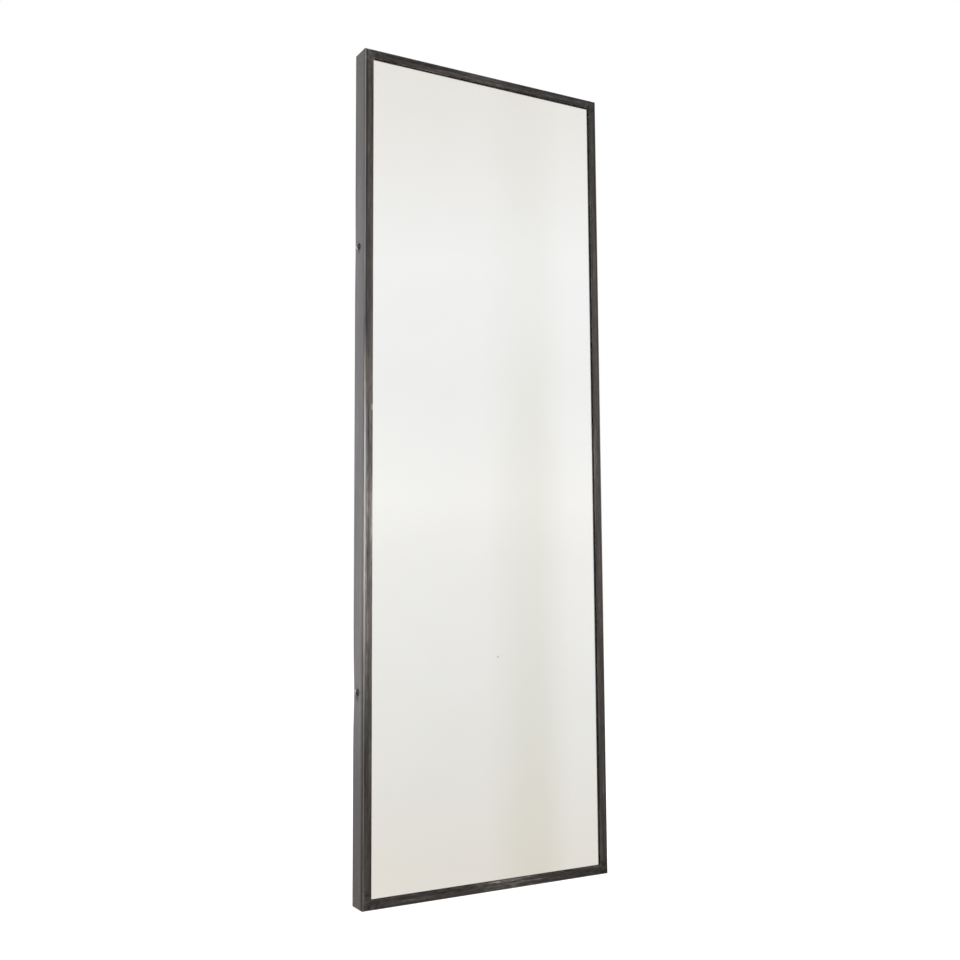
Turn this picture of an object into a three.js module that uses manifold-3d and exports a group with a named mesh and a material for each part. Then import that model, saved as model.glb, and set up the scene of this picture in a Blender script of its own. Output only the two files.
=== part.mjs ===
// Leaning floor mirror: a tall mirror in a welded frame of folded steel, on a hidden timber sub-frame.
// Millimetres, +Z up. The glass faces -Y, and the origin is on the floor under the middle of the mirror.
import * as THREE from "three";
import { mergeVertices } from "three/addons/utils/BufferGeometryUtils.js";
import Module from "manifold-3d";

// ------------------------------------------------------------------------------- driving dimensions

// Steel frame: an L section whose short leg is the face and whose long leg is the side.
const FRAME_WIDTH = 600;
const FRAME_HEIGHT = 1800;
const FRAME_DEPTH = 50;
const FACE_WIDTH = 20;
const STEEL_WALL = 2;
const BEND_INSIDE_RADIUS = 0.8;
const MITRE_GAP = 0.3;
const WELD_LEG = 3;
const WELD_CROWN = 0.3;
const WELD_END_MARGIN = 2;

// Glazing, from the front backwards.
const GLASS_THICKNESS = 4;
const GLASS_ARRIS = 0.5;
const COATING_THICKNESS = 0.2;
const COATING_GAP = 0.05;
const BOARD_THICKNESS = 6;
const GLAZING_EDGE_GAP = 3;
const SETTING_BLOCK_LENGTH = 60;

// Timber sub-frame.
const SUBFRAME_GAP = 2.5;
const HARDWARE_RECESS = 7;
const BATTEN_WIDTH = 44;
const CROSS_BATTEN_THICKNESS = 20;
const CROSS_BATTEN_COUNT = 2;
const TIMBER_ARRIS = 1;

// Screws. The length is measured from the seat for a round head, and over all for a countersunk one.
const SIDE_SCREW = { headRadius: 7.5, headHeight: 4.5, shankRadius: 3, length: 32, tip: 6, facets: 28 };
const SIDE_SCREW_FROM_END = 430;
const SIDE_SCREW_FROM_REAR = 17;
const SIDE_SCREW_SLOT = { width: 1.5, depth: 1.6 };
const SIDE_SCREW_SLOT_TURN = 1.25;
const STEEL_HOLE_CLEARANCE = 0.5;
const JOINT_SCREW = { headRadius: 4.8, headHeight: 3, shankRadius: 2.5, length: 80, tip: 5, facets: 12 };
const JOINT_SCREW_SPACING = 20;
const HANGER_SCREW = { headRadius: 4, headHeight: 2.2, shankRadius: 1.9, length: 16, tip: 4, facets: 16 };
const CROSS_DRIVE = { width: 1, span: 4, depth: 1.2 };
const DOME_STEPS = 6;

// D-ring hangers.
const HANGER_BELOW_TOP = 300;
const STRAP_WIDTH = 15;
const STRAP_SHEET = 0.8;
const STRAP_LENGTH = 54;
const STRAP_FIRST_SCREW = 30;
const STRAP_SCREW_PITCH = 16;
const RING_WIRE_RADIUS = 1.75;
const RING_HALF_WIDTH = 12;
const RING_STRAIGHT = 8;
const RING_WIRE_FACETS = 10;
const RING_BOW_STEPS = 22;
const RING_BORE_CLEARANCE = 0.25;
const EYE_FACETS = 28;

// Rubber bumpers on the back.
const BUMPER_RADIUS = 8;
const BUMPER_TAPER = 1.2;
const BUMPER_EDGE = 1.5;
const BUMPER_PROUD = 2.5;
const BUMPER_FROM_END = 30;
const BUMPER_FACETS = 24;

// Clearances: between a piece and its seat, and round a screw in timber.
const SEAT_GAP = 0.3;
const PILOT_CLEARANCE = 0.3;

// Facets in a quarter bend, and the distance within which a mesh's corners are one vertex.
const BEND_STEPS = 3;
const MERGE_DISTANCE = 1e-4;

// ------------------------------------------------------------------------ places that follow from them

// Depths behind the frame's front face, in the order in which the pieces are laid in.
const glassFront = STEEL_WALL + SEAT_GAP;
const coatingFront = glassFront + GLASS_THICKNESS + COATING_GAP;
const boardFront = coatingFront + COATING_THICKNESS + SEAT_GAP;
const battenFront = boardFront + BOARD_THICKNESS + SEAT_GAP;
const battenRear = FRAME_DEPTH - HARDWARE_RECESS;
const battenDepth = battenRear - battenFront;
const sideScrewDepth = FRAME_DEPTH - SIDE_SCREW_FROM_REAR;

// The bumpers are the rearmost pieces, and the origin lies under the middle of the whole depth.
const overallDepth = FRAME_DEPTH + BUMPER_PROUD;
const FRONT_Y = -overallDepth / 2;
const depthToY = (depth) => FRONT_Y + depth;

// Distances inwards from the outside of the frame.
const glazingInset = STEEL_WALL + GLAZING_EDGE_GAP;
const glazingWidth = FRAME_WIDTH - 2 * glazingInset;
const glazingHeight = FRAME_HEIGHT - 2 * glazingInset;
const battenInset = STEEL_WALL + SUBFRAME_GAP;
const battenCentreX = FRAME_WIDTH / 2 - battenInset - BATTEN_WIDTH / 2;
const railBattenLength = FRAME_WIDTH - 2 * (battenInset + BATTEN_WIDTH + SEAT_GAP);
const railBattenFromEnd = battenInset + BATTEN_WIDTH / 2;

// Hanger: the eye is rolled round the ring's straight bar, so high that the ring hangs clear of the strap.
const eyeBore = RING_WIRE_RADIUS + RING_BORE_CLEARANCE;
const eyeRadius = eyeBore + STRAP_SHEET;
const strapThickness = 2 * STRAP_SHEET;
const eyeRise = strapThickness + RING_WIRE_RADIUS + SEAT_GAP;
const strapDepth = battenRear + SEAT_GAP;
const hangerZ = FRAME_HEIGHT - HANGER_BELOW_TOP;

const SIDES = [
  { name: "left", sign: -1 },
  { name: "right", sign: 1 },
];
const ENDS = [
  { name: "lower", edge: "bottom", sign: -1 },
  { name: "upper", edge: "top", sign: 1 },
];
const quarterTurn = Math.PI / 2;

// --------------------------------------------------------------------------------------- finishes

const FINISHES = {
  blackenedSteel: { color: 0x403e3c, roughness: 0.42, metalness: 0.75 },
  weldBead: { color: 0x4a4643, roughness: 0.6, metalness: 0.7 },
  blackScrew: { color: 0x3a393a, roughness: 0.35, metalness: 0.85 },
  clearGlass: { color: 0xf0f2ef, roughness: 0.03, metalness: 0 },
  silverCoating: { color: 0xe9e8e4, roughness: 0.02, metalness: 1 },
  fibreboard: { color: 0x8a6a4a, roughness: 0.85, metalness: 0 },
  pine: { color: 0xc9a678, roughness: 0.75, metalness: 0 },
  zinc: { color: 0xb4b6b6, roughness: 0.35, metalness: 0.9 },
  rubber: { color: 0x1e1e1f, roughness: 0.85, metalness: 0 },
};

// -------------------------------------------------------------------------- joining and cutting solids

const wasm = await Module();
wasm.setup();

function solidOf(geometry) {
  const bare = geometry.clone();
  bare.deleteAttribute("normal");
  bare.deleteAttribute("uv");
  const merged = mergeVertices(bare, MERGE_DISTANCE);
  const vertProperties = merged.attributes.position.array;
  const triVerts = new Uint32Array(merged.index.array);
  return new wasm.Manifold(new wasm.Mesh({ numProp: 3, vertProperties, triVerts }));
}

function geometryOf(solid) {
  const { vertProperties, triVerts } = solid.getMesh();
  const geometry = new THREE.BufferGeometry();
  geometry.setAttribute("position", new THREE.BufferAttribute(vertProperties, 3));
  geometry.setIndex(new THREE.BufferAttribute(triVerts, 1));
  geometry.computeVertexNormals();
  return geometry;
}

function join(first, ...others) {
  return geometryOf(others.reduce((sum, next) => sum.add(solidOf(next)), solidOf(first)));
}

function cut(first, ...tools) {
  return geometryOf(tools.reduce((rest, tool) => rest.subtract(solidOf(tool)), solidOf(first)));
}

// Cuts a tool out of a mesh, where the tool's place is given in the mirror's own frame.
function cutFrom(mesh, tool, place) {
  mesh.updateMatrix();
  const toMesh = mesh.matrix.clone().invert().multiply(place);
  mesh.geometry = cut(mesh.geometry, tool.clone().applyMatrix4(toMesh));
}

function meshOf(name, geometry, finish) {
  const mesh = new THREE.Mesh(geometry, new THREE.MeshStandardMaterial(FINISHES[finish]));
  mesh.name = name;
  return mesh;
}

// ---------------------------------------------------------------------------------- basic shapes

// A sheet or a bar with eased edges: centred in X and Z, its front at Y = 0, running backwards to +Y.
function slab(width, height, thickness, arris) {
  const outline = new THREE.Shape();
  outline.moveTo(-width / 2, -height / 2);
  outline.lineTo(width / 2, -height / 2);
  outline.lineTo(width / 2, height / 2);
  outline.lineTo(-width / 2, height / 2);
  outline.closePath();
  const body = new THREE.ExtrudeGeometry(outline, {
    depth: thickness - 2 * arris,
    bevelEnabled: arris > 0,
    bevelThickness: arris,
    bevelSize: arris,
    bevelOffset: -arris,
    bevelSegments: 1,
  });
  body.rotateX(quarterTurn);
  body.translate(0, thickness - arris, 0);
  return body;
}

// A solid of revolution about Y, from a profile of [radius, height] pairs listed upwards.
function turned(profile, facets) {
  const points = profile.map(([radius, height]) => new THREE.Vector2(radius, height));
  return new THREE.LatheGeometry(points, facets);
}

function rod(radius, length, facets) {
  return new THREE.CylinderGeometry(radius, radius, length, facets);
}

function rodAlongX(radius, length, facets) {
  return rod(radius, length, facets).rotateZ(quarterTurn);
}

// --------------------------------------------------------------------------------------- screws

// Every screw lies along Y with its point at -Y. Its seat, or a countersunk head's top, is at Y = 0.
function shankProfile(screw, margin) {
  const radius = screw.shankRadius + margin;
  return [
    [0, -screw.length - margin],
    [radius, -screw.length - margin + screw.tip],
  ];
}

function roundHeadProfile(screw) {
  const { headRadius, headHeight } = screw;
  const sphere = (headRadius ** 2 + headHeight ** 2) / (2 * headHeight);
  const centre = headHeight - sphere;
  const edge = Math.acos(-centre / sphere);
  const dome = [];
  for (let step = 0; step < DOME_STEPS; step++) {
    const angle = edge * (1 - step / DOME_STEPS);
    dome.push([sphere * Math.sin(angle), centre + sphere * Math.cos(angle)]);
  }
  return [...dome, [0, headHeight]];
}

function roundHeadScrew(screw) {
  const neck = [[screw.shankRadius, 0]];
  return turned([...shankProfile(screw, 0), ...neck, ...roundHeadProfile(screw)], screw.facets);
}

function countersunkScrew(screw, margin = 0) {
  const neck = [screw.shankRadius + margin, -screw.headHeight - margin];
  const rim = [screw.headRadius + margin, 0];
  return turned([...shankProfile(screw, margin), neck, rim, [0, 0]], screw.facets);
}

// The hole that a round-head screw runs in: its shank with room all round it.
function pilotHole(screw) {
  const radius = screw.shankRadius + PILOT_CLEARANCE;
  return turned([...shankProfile(screw, PILOT_CLEARANCE), [radius, 0], [0, 0]], screw.facets);
}

function slotTool(screw, slot, top, turn) {
  const reach = 2 * screw.headRadius + 2 * slot.width;
  const tool = new THREE.BoxGeometry(reach, 2 * slot.depth, slot.width);
  return tool.rotateY(turn).translate(0, top, 0);
}

function crossTool(top) {
  const { width, span, depth } = CROSS_DRIVE;
  const arm = new THREE.BoxGeometry(span, 2 * depth, width);
  const across = arm.clone().rotateY(quarterTurn);
  return join(arm, across).translate(0, top, 0);
}

// The place of a screw whose head faces outward.
function screwPlace(position, outward) {
  const turn = new THREE.Quaternion().setFromUnitVectors(new THREE.Vector3(0, 1, 0), outward);
  return new THREE.Matrix4().compose(position, turn, new THREE.Vector3(1, 1, 1));
}

function placed(mesh, place) {
  place.decompose(mesh.position, mesh.quaternion, mesh.scale);
  return mesh;
}

// ------------------------------------------------------------------------------------ steel frame

// The folded section: x runs inwards from the frame's outside, y backwards from its front.
function angleSection() {
  const bend = STEEL_WALL + BEND_INSIDE_RADIUS;
  const section = new THREE.Shape();
  section.moveTo(0, FRAME_DEPTH);
  section.lineTo(0, bend);
  section.absarc(bend, bend, bend, Math.PI, 1.5 * Math.PI, false);
  section.lineTo(FACE_WIDTH, 0);
  section.lineTo(FACE_WIDTH, STEEL_WALL);
  section.lineTo(bend, STEEL_WALL);
  section.absarc(bend, bend, BEND_INSIDE_RADIUS, 1.5 * Math.PI, Math.PI, true);
  section.lineTo(STEEL_WALL, FRAME_DEPTH);
  section.closePath();
  return section;
}

// One side of the frame, its length along Z. Each end is sheared to the 45-degree mitre.
function mitredMember(length) {
  const settings = { depth: length, bevelEnabled: false, curveSegments: BEND_STEPS };
  const member = new THREE.ExtrudeGeometry(angleSection(), settings);
  const corner = member.attributes.position;
  const setBack = MITRE_GAP / Math.SQRT2;
  for (let i = 0; i < corner.count; i++) {
    const reach = length / 2 - corner.getX(i) - setBack;
    const end = corner.getZ(i) > length / 2 ? 1 : -1;
    corner.setZ(i, end * reach);
  }
  return member;
}

// The member's outside lies at -X of the frame's centre; a turn about Y takes it to its own side.
function placeMember(mesh, outsideDistance, turn) {
  mesh.geometry.translate(-outsideDistance, 0, 0);
  mesh.rotation.y = turn;
  mesh.position.set(0, FRONT_Y, FRAME_HEIGHT / 2);
  return mesh;
}

function stile(name, turn) {
  const mesh = meshOf(name, mitredMember(FRAME_HEIGHT), "blackenedSteel");
  return placeMember(mesh, FRAME_WIDTH / 2, turn);
}

function rail(name, turn) {
  const mesh = meshOf(name, mitredMember(FRAME_WIDTH), "blackenedSteel");
  return placeMember(mesh, FRAME_HEIGHT / 2, turn);
}

// The bead in the corner between two side legs, with a slightly crowned face.
function weldBead() {
  const bead = new THREE.Shape();
  const bulge = WELD_LEG / 2 + WELD_CROWN * Math.SQRT2;
  bead.moveTo(0, 0);
  bead.lineTo(WELD_LEG, 0);
  bead.quadraticCurveTo(bulge, bulge, 0, WELD_LEG);
  bead.closePath();
  const start = STEEL_WALL + BEND_INSIDE_RADIUS + SEAT_GAP;
  const length = FRAME_DEPTH - start - WELD_END_MARGIN;
  const settings = { depth: length, bevelEnabled: false, curveSegments: BEND_STEPS };
  const body = new THREE.ExtrudeGeometry(bead, settings);
  body.rotateX(quarterTurn);
  return body.translate(0, start + length, 0);
}

function cornerWeld(side, end) {
  const mesh = meshOf(`corner_weld_${end.edge}_${side.name}`, weldBead(), "weldBead");
  const inset = STEEL_WALL + SEAT_GAP;
  const x = side.sign * (FRAME_WIDTH / 2 - inset);
  const z = FRAME_HEIGHT / 2 + end.sign * (FRAME_HEIGHT / 2 - inset);
  // The bead is drawn for the lower left corner, and is alike about its diagonal.
  const towardsCentre = Math.atan2(-end.sign, -side.sign);
  const drawn = Math.atan2(1, 1);
  mesh.rotation.y = drawn - towardsCentre;
  mesh.position.set(x, FRONT_Y, z);
  return mesh;
}

// --------------------------------------------------------------------------------------- glazing

function glazingSheet(name, thickness, arris, depth, finish) {
  const mesh = meshOf(name, slab(glazingWidth, glazingHeight, thickness, arris), finish);
  mesh.position.set(0, depthToY(depth), FRAME_HEIGHT / 2);
  return mesh;
}

// The blocks stand at the quarter points of the glass and carry the glass and the board.
function settingBlock(side) {
  const thickness = GLAZING_EDGE_GAP - 2 * SEAT_GAP;
  const depth = boardFront + BOARD_THICKNESS - glassFront;
  const body = slab(SETTING_BLOCK_LENGTH, thickness, depth, 0);
  const mesh = meshOf(`setting_block_${side.name}`, body, "rubber");
  const z = STEEL_WALL + SEAT_GAP + thickness / 2;
  mesh.position.set((side.sign * glazingWidth) / 4, depthToY(glassFront), z);
  return mesh;
}

// ------------------------------------------------------------------------------------- sub-frame

function uprightBatten(side) {
  const length = FRAME_HEIGHT - 2 * battenInset;
  const body = slab(BATTEN_WIDTH, length, battenDepth, TIMBER_ARRIS);
  const mesh = meshOf(`batten_${side.name}`, body, "pine");
  mesh.position.set(side.sign * battenCentreX, depthToY(battenFront), FRAME_HEIGHT / 2);
  return mesh;
}

function railBatten(name, z, thickness) {
  const mesh = meshOf(name, slab(railBattenLength, BATTEN_WIDTH, thickness, TIMBER_ARRIS), "pine");
  mesh.position.set(0, depthToY(battenFront), z);
  return mesh;
}

// Each crosswise batten, with its thickness and the heights of the screws in each of its ends.
function crosswiseBattens() {
  const battens = ENDS.map((end) => {
    const z = FRAME_HEIGHT / 2 + end.sign * (FRAME_HEIGHT / 2 - railBattenFromEnd);
    const screws = ENDS.map((row) => ({
      name: `${end.edge}_${row.name}`,
      z: z + (row.sign * JOINT_SCREW_SPACING) / 2,
    }));
    return { name: `batten_${end.edge}`, z, thickness: battenDepth, screws };
  });
  for (let row = 1; row <= CROSS_BATTEN_COUNT; row++) {
    const z = (FRAME_HEIGHT * row) / (CROSS_BATTEN_COUNT + 1);
    const screws = [{ name: `cross_${row}`, z }];
    battens.push({ name: `cross_batten_${row}`, z, thickness: CROSS_BATTEN_THICKNESS, screws });
  }
  return battens;
}

// --------------------------------------------------------------------------------------- hangers

// The strap lies on its mounting plane, Y = 0, below an eye whose centre is at Z = 0.
function hangerStrap() {
  const half = STRAP_WIDTH / 2;
  const tail = new THREE.Shape();
  tail.moveTo(-half, 0);
  tail.lineTo(-half, half - STRAP_LENGTH);
  tail.absarc(0, half - STRAP_LENGTH, half, Math.PI, 2 * Math.PI, false);
  tail.lineTo(half, 0);
  tail.closePath();
  const settings = { depth: strapThickness, bevelEnabled: false, curveSegments: 2 * BEND_STEPS };
  const plate = new THREE.ExtrudeGeometry(tail, settings);
  plate.rotateX(quarterTurn);
  plate.translate(0, strapThickness, 0);
  const eye = rodAlongX(eyeRadius, STRAP_WIDTH, EYE_FACETS).translate(0, eyeRise, 0);
  const bore = rodAlongX(eyeBore, 2 * STRAP_WIDTH, EYE_FACETS).translate(0, eyeRise, 0);
  return cut(join(plate, eye), bore);
}

// The bow's centre line: down one side, round half a circle and up the other side.
class BowLine extends THREE.Curve {
  getPoint(share, point = new THREE.Vector3()) {
    const arc = Math.PI * RING_HALF_WIDTH;
    const along = share * (2 * RING_STRAIGHT + arc);
    if (along <= RING_STRAIGHT) {
      return point.set(-RING_HALF_WIDTH, 0, -along);
    }
    if (along >= RING_STRAIGHT + arc) {
      return point.set(RING_HALF_WIDTH, 0, along - arc - 2 * RING_STRAIGHT);
    }
    const angle = (along - RING_STRAIGHT) / RING_HALF_WIDTH;
    const x = -RING_HALF_WIDTH * Math.cos(angle);
    return point.set(x, 0, -RING_STRAIGHT - RING_HALF_WIDTH * Math.sin(angle));
  }
}

// The ring turns about its straight bar, which lies along X through the origin.
function hangerRing() {
  const section = new THREE.Shape().absarc(0, 0, RING_WIRE_RADIUS, 0, 2 * Math.PI, false);
  const bow = new THREE.ExtrudeGeometry(section, {
    steps: RING_BOW_STEPS,
    curveSegments: RING_WIRE_FACETS / 2,
    extrudePath: new BowLine(),
  });
  const bar = rodAlongX(RING_WIRE_RADIUS, 2 * RING_HALF_WIDTH, RING_WIRE_FACETS);
  const knuckle = new THREE.SphereGeometry(RING_WIRE_RADIUS, RING_WIRE_FACETS, RING_WIRE_FACETS / 2);
  const knuckles = SIDES.map((side) => knuckle.clone().translate(side.sign * RING_HALF_WIDTH, 0, 0));
  return join(bow, bar, ...knuckles);
}

function bumper() {
  const height = FRAME_DEPTH + BUMPER_PROUD - strapDepth;
  const shoulder = BUMPER_RADIUS - BUMPER_TAPER;
  const profile = [[0, 0], [BUMPER_RADIUS, 0]];
  for (let step = 0; step <= BEND_STEPS; step++) {
    const angle = (quarterTurn * step) / BEND_STEPS;
    const inwards = BUMPER_EDGE * (1 - Math.cos(angle));
    profile.push([shoulder - inwards, height - BUMPER_EDGE * (1 - Math.sin(angle))]);
  }
  return turned([...profile, [0, height]], BUMPER_FACETS);
}

// -------------------------------------------------------------------------------------- assembly

const steelFrame = new THREE.Group();
const stiles = {
  left: stile("frame_stile_left", 0),
  right: stile("frame_stile_right", Math.PI),
};
steelFrame.add(stiles.left, stiles.right);
steelFrame.add(rail("frame_rail_top", quarterTurn), rail("frame_rail_bottom", -quarterTurn));
SIDES.forEach((side) => ENDS.forEach((end) => steelFrame.add(cornerWeld(side, end))));

const glazing = new THREE.Group();
glazing.add(glazingSheet("mirror_glass", GLASS_THICKNESS, GLASS_ARRIS, glassFront, "clearGlass"));
glazing.add(glazingSheet("silver_coating", COATING_THICKNESS, 0, coatingFront, "silverCoating"));
glazing.add(glazingSheet("backing_board", BOARD_THICKNESS, 0, boardFront, "fibreboard"));
SIDES.forEach((side) => glazing.add(settingBlock(side)));

const subFrame = new THREE.Group();
const uprights = { left: uprightBatten(SIDES[0]), right: uprightBatten(SIDES[1]) };
subFrame.add(uprights.left, uprights.right);

// Side screws run through the steel into the upright battens.
for (const side of SIDES) {
  const outward = new THREE.Vector3(side.sign, 0, 0);
  for (const end of ENDS) {
    const z = FRAME_HEIGHT / 2 + end.sign * (FRAME_HEIGHT / 2 - SIDE_SCREW_FROM_END);
    const seat = side.sign * (FRAME_WIDTH / 2 + SEAT_GAP);
    const place = screwPlace(new THREE.Vector3(seat, depthToY(sideScrewDepth), z), outward);
    const holeRadius = SIDE_SCREW.shankRadius + STEEL_HOLE_CLEARANCE;
    cutFrom(stiles[side.name], rod(holeRadius, 4 * STEEL_WALL, SIDE_SCREW.facets), place);
    cutFrom(uprights[side.name], pilotHole(SIDE_SCREW), place);
    const slot = slotTool(SIDE_SCREW, SIDE_SCREW_SLOT, SIDE_SCREW.headHeight, SIDE_SCREW_SLOT_TURN);
    const screw = cut(roundHeadScrew(SIDE_SCREW), slot);
    steelFrame.add(placed(meshOf(`side_screw_${side.name}_${end.name}`, screw, "blackScrew"), place));
  }
}

// Joint screws run through the upright battens into the ends of the crosswise ones.
for (const batten of crosswiseBattens()) {
  const crosswise = railBatten(batten.name, batten.z, batten.thickness);
  const depth = battenFront + batten.thickness / 2;
  for (const side of SIDES) {
    const outward = new THREE.Vector3(side.sign, 0, 0);
    for (const { name, z } of batten.screws) {
      const x = side.sign * (FRAME_WIDTH / 2 - battenInset);
      const place = screwPlace(new THREE.Vector3(x, depthToY(depth), z), outward);
      const hole = countersunkScrew(JOINT_SCREW, PILOT_CLEARANCE);
      cutFrom(uprights[side.name], hole, place);
      cutFrom(crosswise, hole, place);
      const screw = cut(countersunkScrew(JOINT_SCREW), crossTool(0));
      subFrame.add(placed(meshOf(`joint_screw_${side.name}_${name}`, screw, "blackScrew"), place));
    }
  }
  subFrame.add(crosswise);
}

// A hanger on each upright batten: strap, swinging ring and two screws.
const hangers = new THREE.Group();
for (const side of SIDES) {
  const strap = meshOf(`hanger_strap_${side.name}`, hangerStrap(), "zinc");
  const mountY = depthToY(strapDepth);
  strap.position.set(side.sign * battenCentreX, mountY, hangerZ);
  const ring = meshOf(`hanger_ring_${side.name}`, hangerRing(), "zinc");
  ring.position.set(side.sign * battenCentreX, mountY + eyeRise, hangerZ);
  for (const end of ENDS) {
    const below = STRAP_FIRST_SCREW + (end.sign < 0 ? STRAP_SCREW_PITCH : 0);
    const seat = mountY + strapThickness + SEAT_GAP;
    const position = new THREE.Vector3(side.sign * battenCentreX, seat, hangerZ - below);
    const place = screwPlace(position, new THREE.Vector3(0, 1, 0));
    cutFrom(strap, pilotHole(HANGER_SCREW), place);
    cutFrom(uprights[side.name], pilotHole(HANGER_SCREW), place);
    const screw = cut(roundHeadScrew(HANGER_SCREW), crossTool(HANGER_SCREW.headHeight));
    hangers.add(placed(meshOf(`hanger_screw_${side.name}_${end.name}`, screw, "zinc"), place));
  }
  hangers.add(strap, ring);
}

const bumpers = new THREE.Group();
for (const side of SIDES) {
  for (const end of ENDS) {
    const mesh = meshOf(`wall_bumper_${end.edge}_${side.name}`, bumper(), "rubber");
    const z = FRAME_HEIGHT / 2 + end.sign * (FRAME_HEIGHT / 2 - BUMPER_FROM_END);
    mesh.position.set(side.sign * battenCentreX, depthToY(strapDepth), z);
    bumpers.add(mesh);
  }
}

const mirror = new THREE.Group();
mirror.add(steelFrame, glazing, subFrame, hangers, bumpers);

export default mirror;
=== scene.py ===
# %% [markdown]
# # A leaning floor mirror
# The real mirror is a tall sheet of silvered glass in a slim frame of folded, blackened steel. A sub-frame
# of pine stiffens it from behind, and two wire rings hang on its back. The solid model already holds every
# piece at its real size, so this script loads it, gives each piece its finish, and rebuilds the ones whose
# rounded edges, slots and rolled sheet are too fine for it.

# %% Load the mirror
import functools
import math

import bmesh
import bpy
import numpy as np
from mathutils import Matrix, Vector


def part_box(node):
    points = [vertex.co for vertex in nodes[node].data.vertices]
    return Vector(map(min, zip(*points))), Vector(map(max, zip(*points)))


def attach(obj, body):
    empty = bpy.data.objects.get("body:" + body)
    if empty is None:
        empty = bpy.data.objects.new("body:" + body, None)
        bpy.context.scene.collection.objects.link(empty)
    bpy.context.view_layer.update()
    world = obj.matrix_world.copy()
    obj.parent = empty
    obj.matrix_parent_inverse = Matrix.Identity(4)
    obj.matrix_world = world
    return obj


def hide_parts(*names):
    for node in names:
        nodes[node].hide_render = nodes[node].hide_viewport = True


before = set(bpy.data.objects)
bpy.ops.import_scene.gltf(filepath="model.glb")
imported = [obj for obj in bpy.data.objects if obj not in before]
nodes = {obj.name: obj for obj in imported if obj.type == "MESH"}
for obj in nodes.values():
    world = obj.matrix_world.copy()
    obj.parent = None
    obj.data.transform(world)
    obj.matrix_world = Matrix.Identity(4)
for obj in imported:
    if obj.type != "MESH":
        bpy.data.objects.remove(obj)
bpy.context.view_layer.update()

# %% [markdown]
# ## Sizes
# All lengths are metres. The outside of the frame is measured on the loaded steel, and the sheet's wall and
# the width of its face are the ones that it was folded to.

# %% Sizes of the frame
MM = 0.001
stile_low, stile_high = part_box("frame_stile_left")
_, rail_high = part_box("frame_rail_top")
HALF_WIDTH = -stile_low.x
HEIGHT = rail_high.z
MID_HEIGHT = HEIGHT / 2
FRONT = stile_low.y
DEPTH = stile_high.y - stile_low.y
FACE = stile_high.x - stile_low.x
WALL = 2 * MM
BEND_RADIUS = 2.8 * MM
EDGE_RADIUS = 0.35 * MM
GROUND_CORNER = 0.9 * MM
RINGS_ALONG = 150
PULL_REACH = 0.06
PULL_CURVE = 1.3
print(f"frame {2 * HALF_WIDTH:.3f} x {HEIGHT:.3f} x {DEPTH:.3f}, face {FACE:.3f}")

# %% [markdown]
# ## Camera
# The picture is taken from the mirror's left front at a little over a third of its height. Lens, place and
# shift were solved from the frame's edges and corners, with its proportions taken as 1800 : 600 : 50 : 20.

# %% Camera
scene = bpy.context.scene
CAMERA_PLACE = Vector((-1.2682, -2.24195, 0.6564))
CAMERA_FORWARD = Vector((0.4927, 0.8646, 0.0990))
CAMERA_UP = Vector((-0.0430, -0.0894, 0.9951))

camera_data = bpy.data.cameras.new("camera")
camera_data.lens = 43.71
camera_data.sensor_width = 36
camera_data.shift_x = -0.00753
camera_data.shift_y = -0.01549
camera = bpy.data.objects.new("camera", camera_data)
backward = -CAMERA_FORWARD.normalized()
sideways = CAMERA_UP.cross(backward).normalized()
upward = backward.cross(sideways)
camera.matrix_world = Matrix.Translation(CAMERA_PLACE) @ Matrix(
    (sideways, upward, backward)
).transposed().to_4x4()
scene.collection.objects.link(camera)
scene.camera = camera
scene.view_settings.view_transform = "Standard"
print("camera at", tuple(round(v, 3) for v in camera.location))

# %% [markdown]
# ## A helper for node trees
# Shader trees and geometry trees are both built in code. One helper adds a node and fills its inputs, where
# an input takes a plain value or the output of another node. The others shorten what comes back again and
# again, and find their tree through the outputs that they are given.

# %% Node helpers
def tree_of(*values):
    """The tree of the first output among the values."""
    return next(value.id_data for value in values if isinstance(value, bpy.types.NodeSocket))


def link(value, socket):
    """Links an output to an input of the same tree."""
    value.id_data.links.new(value, socket)


def place(tree, kind, inputs=None, **settings):
    """Adds a node to a tree and gives back the node."""
    made = tree.nodes.new(kind)
    for name, value in settings.items():
        setattr(made, name, value)
    for key, value in (inputs or {}).items():
        if isinstance(value, bpy.types.NodeSocket):
            link(value, made.inputs[key])
        else:
            made.inputs[key].default_value = value
    return made


def put(tree, kind, inputs=None, **settings):
    """Adds a node to a tree and gives back its first output."""
    return place(tree, kind, inputs, **settings).outputs[0]


def maths(operation, *values, clamp=False):
    """One step of arithmetic on numbers or outputs, as an output."""
    inputs = dict(enumerate(values))
    return put(tree_of(*values), "ShaderNodeMath", inputs, operation=operation, use_clamp=clamp)


def in_turn(operation):
    """Arithmetic on two or more values, from the left to the right."""
    return lambda *values: functools.reduce(lambda done, value: maths(operation, done, value), values)


plus, minus, times, over = (in_turn(operation) for operation in ("ADD", "SUBTRACT", "MULTIPLY", "DIVIDE"))


def between(share, low, high):
    """The number at a share of the way from low to high, as an output."""
    return put(tree_of(share), "ShaderNodeMix", {0: share, 2: low, 3: high})


def vector(x, y, z):
    """A vector from three numbers or outputs, as an output."""
    return put(tree_of(x, y, z), "ShaderNodeCombineXYZ", {0: x, 1: y, 2: z})


def split(value):
    """The X, Y and Z of a vector, as outputs."""
    return place(tree_of(value), "ShaderNodeSeparateXYZ", {0: value}).outputs


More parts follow.
